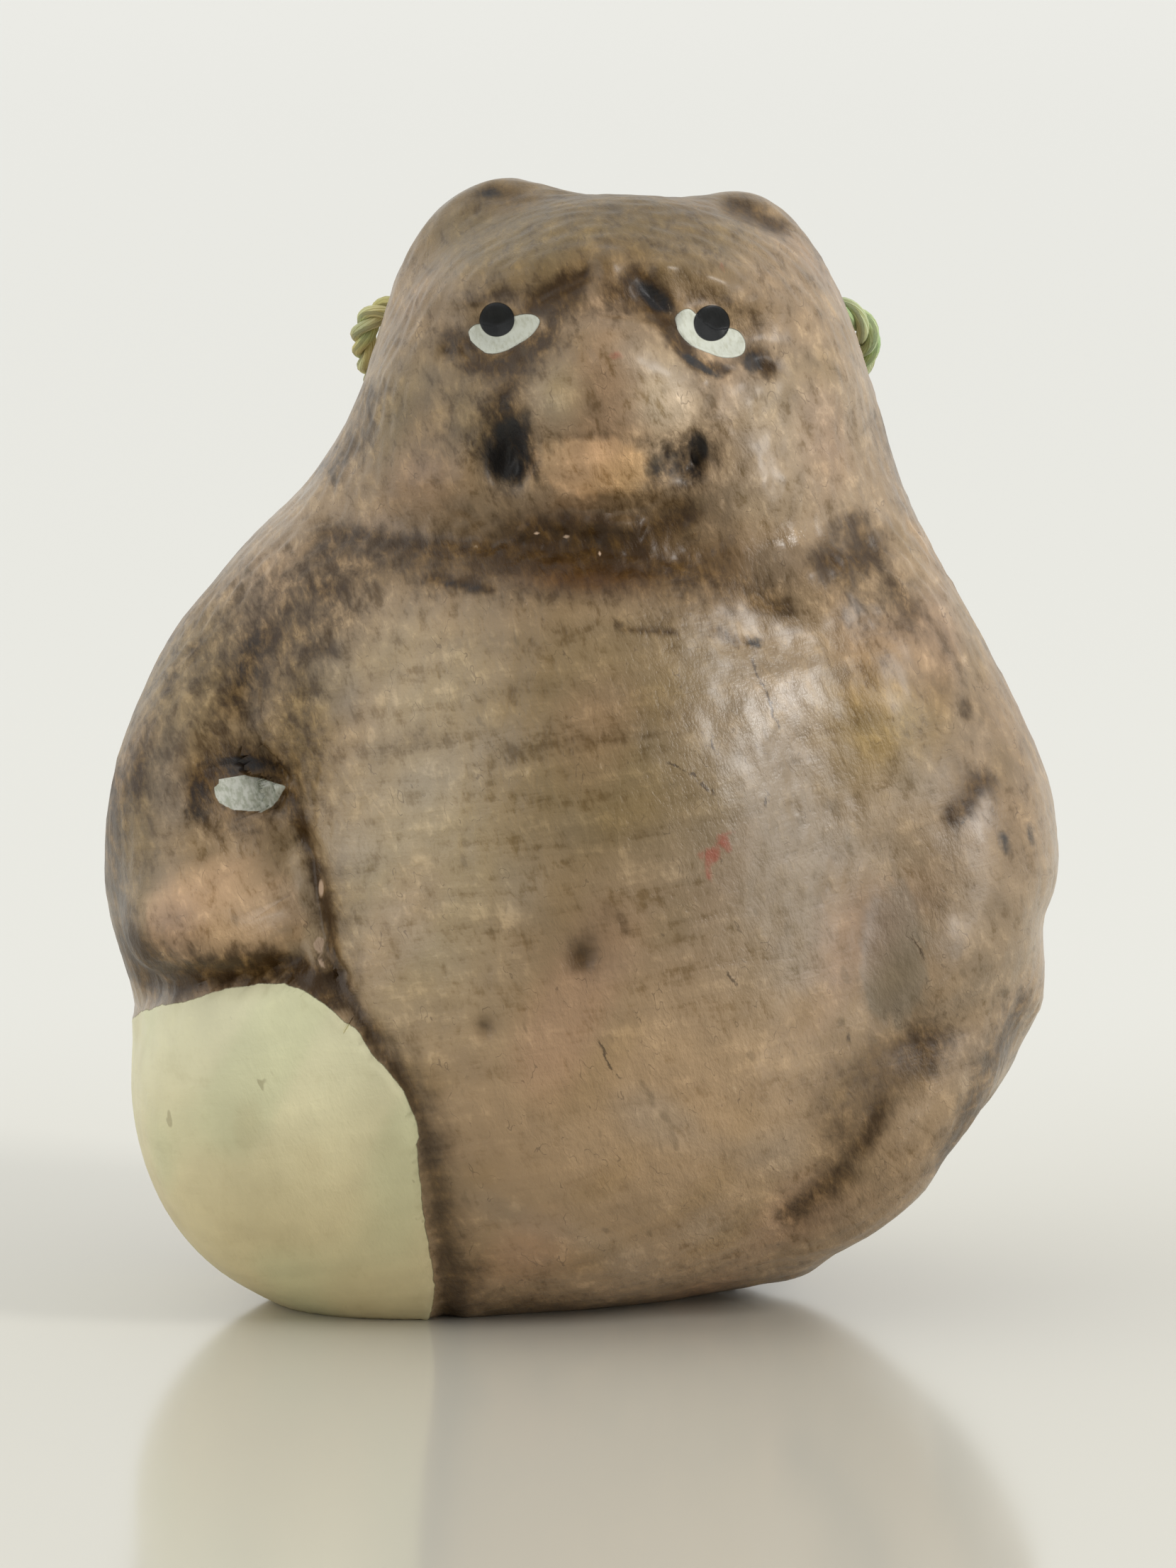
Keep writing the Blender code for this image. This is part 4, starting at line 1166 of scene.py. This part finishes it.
def clay_material():
    n = Nodes("painted_clay")
    where = n.millimetres()
    flask, mouth, white = n.parts(n.attribute("edges"))
    pupil, wash_and_shade, ink_and_shade = n.parts(n.attribute("marks"))
    fur, inner, red = n.parts(n.attribute("worn"))
    beside, ends, chip_and_glint = n.parts(n.attribute("breaks_and_glints"))
    brush = n.attribute("brush")
    loud = n.step(n.attribute("quiet", "Fac"), 0, 1, 1.0, 0.3, False)

    tilted = n.add("ShaderNodeMapping")
    tilted.vector_type = "TEXTURE"
    n.put(tilted.inputs["Vector"], where)
    n.put(tilted.inputs["Rotation"], (0.0, math.radians(-22), 0.0))
    n.put(tilted.inputs["Scale"], (0.9, 2.6, 1.75))
    dabs = n.noise(tilted.outputs[0], 1.2, 4, 0.66, 0.25)
    strokes = n.noise(n.vector("MULTIPLY", brush, (3.2, 3.2, 0.8)), 1.0, 4, 0.62, 0.3)
    grain = n.noise(tilted.outputs[0], 3.8, 2, 0.6)
    lines = n.noise(tilted.outputs[0], 0.75, 2, 0.5)

    def dimmed(colour, by):
        return n.mix(1.0, colour, by, "MULTIPLY")

    # brushed across on the belly, dabbed like fur on the head and arms
    across = n.math("SUBTRACT", 1.0, n.math("MULTIPLY", fur, 0.92))
    furred = n.math("MULTIPLY_ADD", fur, 0.75, 0.85)
    worked = n.math("ADD", n.math("MULTIPLY", n.math("SUBTRACT", strokes, 0.5), n.math("MULTIPLY", across, 1.0)),
                    n.math("MULTIPLY", n.math("SUBTRACT", dabs, 0.5), n.math("MULTIPLY", furred, 1.05)))
    worked = n.math("ADD", worked, n.math("MULTIPLY", n.math("SUBTRACT", grain, 0.5), 0.26))
    worked = n.math("MULTIPLY", worked, loud)
    tone = n.attribute("tone")
    colour = n.mix(n.step(worked, -0.01, -0.28), tone, dimmed(tone, (0.62, 0.56, 0.42)))
    colour = n.mix(n.step(worked, 0.01, 0.30), colour, dimmed(tone, (1.42, 1.44, 1.48)))

    # the dark wash and painted shade, soft at its edges and finely mottled
    rubbed = n.math("MULTIPLY", worked, n.math("MULTIPLY_ADD", fur, -0.3, -0.6))
    spread = n.math("ADD", n.math("MULTIPLY", wash_and_shade, 1.25), rubbed)
    cover = n.step(spread, 0.10, 1.35, 0.0, 0.95)
    pale = n.math("SUBTRACT", worked, n.math("MULTIPLY", wash_and_shade, 0.12))
    dark = n.mix(n.step(pale, -0.2, 0.25), linear((56, 35, 4)), linear((114, 82, 28)))
    colour = n.mix(cover, colour, dark)
    # near-black marks, among them painted shade under the right brow
    inked_and_shaded = n.step(n.math("ADD", ink_and_shade, n.math("MULTIPLY", worked, -0.6)), 0.15, 0.95, 0.0, 0.92)
    colour = n.mix(inked_and_shaded, colour, linear((34, 35, 38)))

    # olive dabs and short hairline cracks
    dab = n.step(lines, 0.67, 0.75, 0.0, 0.34)
    colour = n.mix(dab, colour, linear((88, 72, 46)))
    hair = n.math("MULTIPLY", n.step(n.math("ABSOLUTE", n.math("SUBTRACT", lines, 0.425)), 0.008, 0.002),
                  n.step(dabs, 0.51, 0.56))
    colour = n.mix(n.math("MULTIPLY", hair, 0.42), colour, linear((66, 48, 32)))
    colour = n.mix(n.step(dabs, 0.69, 0.76, 0.0, 0.25), colour, linear((200, 180, 154)))

    # single cracks and spots of red; the pale chips and painted glints come after the eyes
    shaken = n.math("MULTIPLY_ADD", n.math("SUBTRACT", dabs, 0.5), 0.9, beside)
    crack = n.math("MULTIPLY", n.step(n.math("ABSOLUTE", shaken), 0.13, 0.03), n.step(ends, 0.0, 0.35))
    crack = n.math("MULTIPLY", crack, n.step(grain, 0.36, 0.5))
    colour = n.mix(n.math("MULTIPLY", crack, 0.78), colour, linear((66, 50, 32)))
    spotted = n.step(n.math("MULTIPLY_ADD", n.math("SUBTRACT", dabs, 0.5), 1.0, red), -0.10, 0.26, 0.0, 0.62)
    colour = n.mix(spotted, colour, linear((156, 66, 52)))

    # the flask's thick cream paint
    cream = n.attribute("cream")
    cream = n.mix(n.step(worked, 0.0, -0.4, 0.0, 0.34), cream, dimmed(cream, (0.76, 0.73, 0.64)))
    cream = n.mix(n.step(worked, 0.0, 0.4, 0.0, 0.4), cream, dimmed(cream, (1.16, 1.16, 1.16)))
    cream = n.mix(n.step(lines, 0.72, 0.75, 0.0, 0.4), cream, linear((128, 112, 78)))
    on_flask = n.step(n.math("MULTIPLY_ADD", grain, 0.10, n.math("ADD", flask, -0.05)), -0.03, 0.05)
    colour = n.mix(on_flask, colour, cream)

    spout = n.mix(n.step(grain, 0.38, 0.65), linear((206, 208, 198)), linear((172, 176, 160)))
    on_spout = n.step(n.math("MULTIPLY_ADD", grain, 0.10, n.math("ADD", mouth, -0.05)), -0.03, 0.04)
    colour = n.mix(on_spout, colour, spout)

    # the eyes
    eye_white = n.mix(n.step(grain, 0.42, 0.72), linear((208, 211, 199)), linear((192, 194, 178)))
    on_white = n.step(n.math("MULTIPLY_ADD", grain, 0.05, n.math("ADD", white, -0.025)), -0.03, 0.03)
    colour = n.mix(on_white, colour, eye_white)
    on_pupil = n.step(pupil, -0.03, 0.03)
    colour = n.mix(on_pupil, colour, linear((5, 9, 14)))

    # pale chips, and painted glints on the chin
    chip_and_glint_cover = n.step(chip_and_glint, -0.04, 0.05)
    colour = n.mix(chip_and_glint_cover, colour, linear((204, 176, 150)))

    # bare clay inside
    bare = n.mix(n.step(grain, 0.35, 0.65), linear((150, 124, 98)), linear((122, 98, 75)))
    colour = n.mix(inner, colour, bare)

    high = n.math("ADD", n.math("MULTIPLY", strokes, 0.11), n.math("MULTIPLY", dabs, 0.12))
    high = n.math("ADD", high, n.math("MULTIPLY", grain, 0.045))
    glazed = n.math("MAXIMUM", on_flask, n.math("MAXIMUM", on_pupil, on_white))
    high = n.math("MULTIPLY", high, n.step(glazed, 0, 1, 1.0, 0.4, False))
    normal = n.bump(high, 1.0)

    rough = n.math("ADD", n.step(dabs, 0.3, 0.7, 0.28, 0.40), n.math("MULTIPLY", cover, 0.06))
    rough = n.math("MULTIPLY_ADD", fur, 0.16, rough)
    rough = n.math("ADD", rough, n.math("MULTIPLY", n.math("MAXIMUM", on_flask, on_pupil), 0.12))
    rough = n.math("ADD", rough, n.math("MULTIPLY", inner, 0.5))
    rough = n.math("MULTIPLY", rough, n.step(n.attribute("shiny", "Fac"), 0, 1, 1.0, 0.3, False))
    n.set(Base_Color=colour, Roughness=rough, Specular_IOR_Level=0.3, Normal=normal,
          Coat_Weight=n.math("MULTIPLY", n.step(fur, 0.3, 1.0, 0.55, 0.4, False),
                             n.step(n.math("MAXIMUM", glazed, cover), 0, 1, 1.0, 0.3, False)), Coat_Roughness=0.27)
    return n.material


bell = cut_bell()
clay_attributes(bell)
bell.data.materials.clear()
bell.data.materials.append(clay_material())
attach(bell, "root")
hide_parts("bell_body")


# ------------------------------------------------------------------ the stage
def pale_floor():
    bm = bmesh.new()
    bmesh.ops.create_grid(bm, x_segments=1, y_segments=1, size=3.0)
    mesh = bpy.data.meshes.new("floor")
    bm.to_mesh(mesh)
    bm.free()
    n = Nodes("pale_floor")
    where = n.add("ShaderNodeTexCoord").outputs["Object"]
    y = n.parts(where)[1]
    # painted shade: the floor is coloured darker in front of and under the bell than further back
    colour = n.mix(n.step(y, 0.00, 0.11), linear((206, 203, 192)), linear((220, 219, 212)))
    n.set(Base_Color=colour, Roughness=0.13, Specular_IOR_Level=0.5)
    floor = place("floor", mesh, n.material)
    return floor


def softbox(name, at, aim, wide, high, watts, colour=(1, 1, 1)):
    data = bpy.data.lights.new(name, "AREA")
    data.shape, data.size, data.size_y = "RECTANGLE", wide, high
    data.energy, data.color = watts, colour
    lamp = bpy.data.objects.new(name, data)
    bpy.context.scene.collection.objects.link(lamp)
    lamp.location = at
    lamp.visible_camera = False
    lamp.rotation_euler = (Vector(aim) - Vector(at)).to_track_quat("-Z", "Y").to_euler()


def air():
    """Soft light all round, less of it from the front and from overhead."""
    world = bpy.data.worlds.new("air")
    world.use_nodes = True
    tree = world.node_tree
    back = tree.nodes["Background"]

    def node(kind, *values, **settings):
        made = tree.nodes.new(kind)
        for key, value in settings.items():
            setattr(made, key, value)
        for socket, value in zip(made.inputs, values):
            if isinstance(value, bpy.types.NodeSocket):
                tree.links.new(value, socket)
            else:
                socket.default_value = value
        return made.outputs[0]

    where = tree.nodes.new("ShaderNodeTexCoord").outputs["Generated"]
    split = tree.nodes.new("ShaderNodeSeparateXYZ")
    tree.links.new(where, split.inputs[0])
    front = node("ShaderNodeMapRange", split.outputs[1], -0.1, -0.8, 1.0, 0.30, interpolation_type="SMOOTHSTEP")
    high = node("ShaderNodeMapRange", split.outputs[2], 0.25, 0.9, 1.0, 0.95, interpolation_type="SMOOTHSTEP")
    tree.links.new(node("ShaderNodeMath", front, high, operation="MULTIPLY"), back.inputs[1])
    back.inputs[0].default_value = (*linear((249, 249, 245)), 1)
    bpy.context.scene.world = world


pale_floor()
air()
softbox("window", (0.70, -0.40, 0.49), (0, 0, 0.03), 0.20, 0.34, 3.7, (1.0, 0.99, 0.97))
softbox("window_low", (0.80, -0.38, 0.12), (0, 0, 0.03), 0.22, 0.30, 0.8, (1.0, 0.99, 0.97))
softbox("fill", (-0.75, -0.30, 0.34), (0, 0, 0.03), 1.0, 0.9, 2.4)
bpy.context.scene.view_settings.view_transform = "Standard"
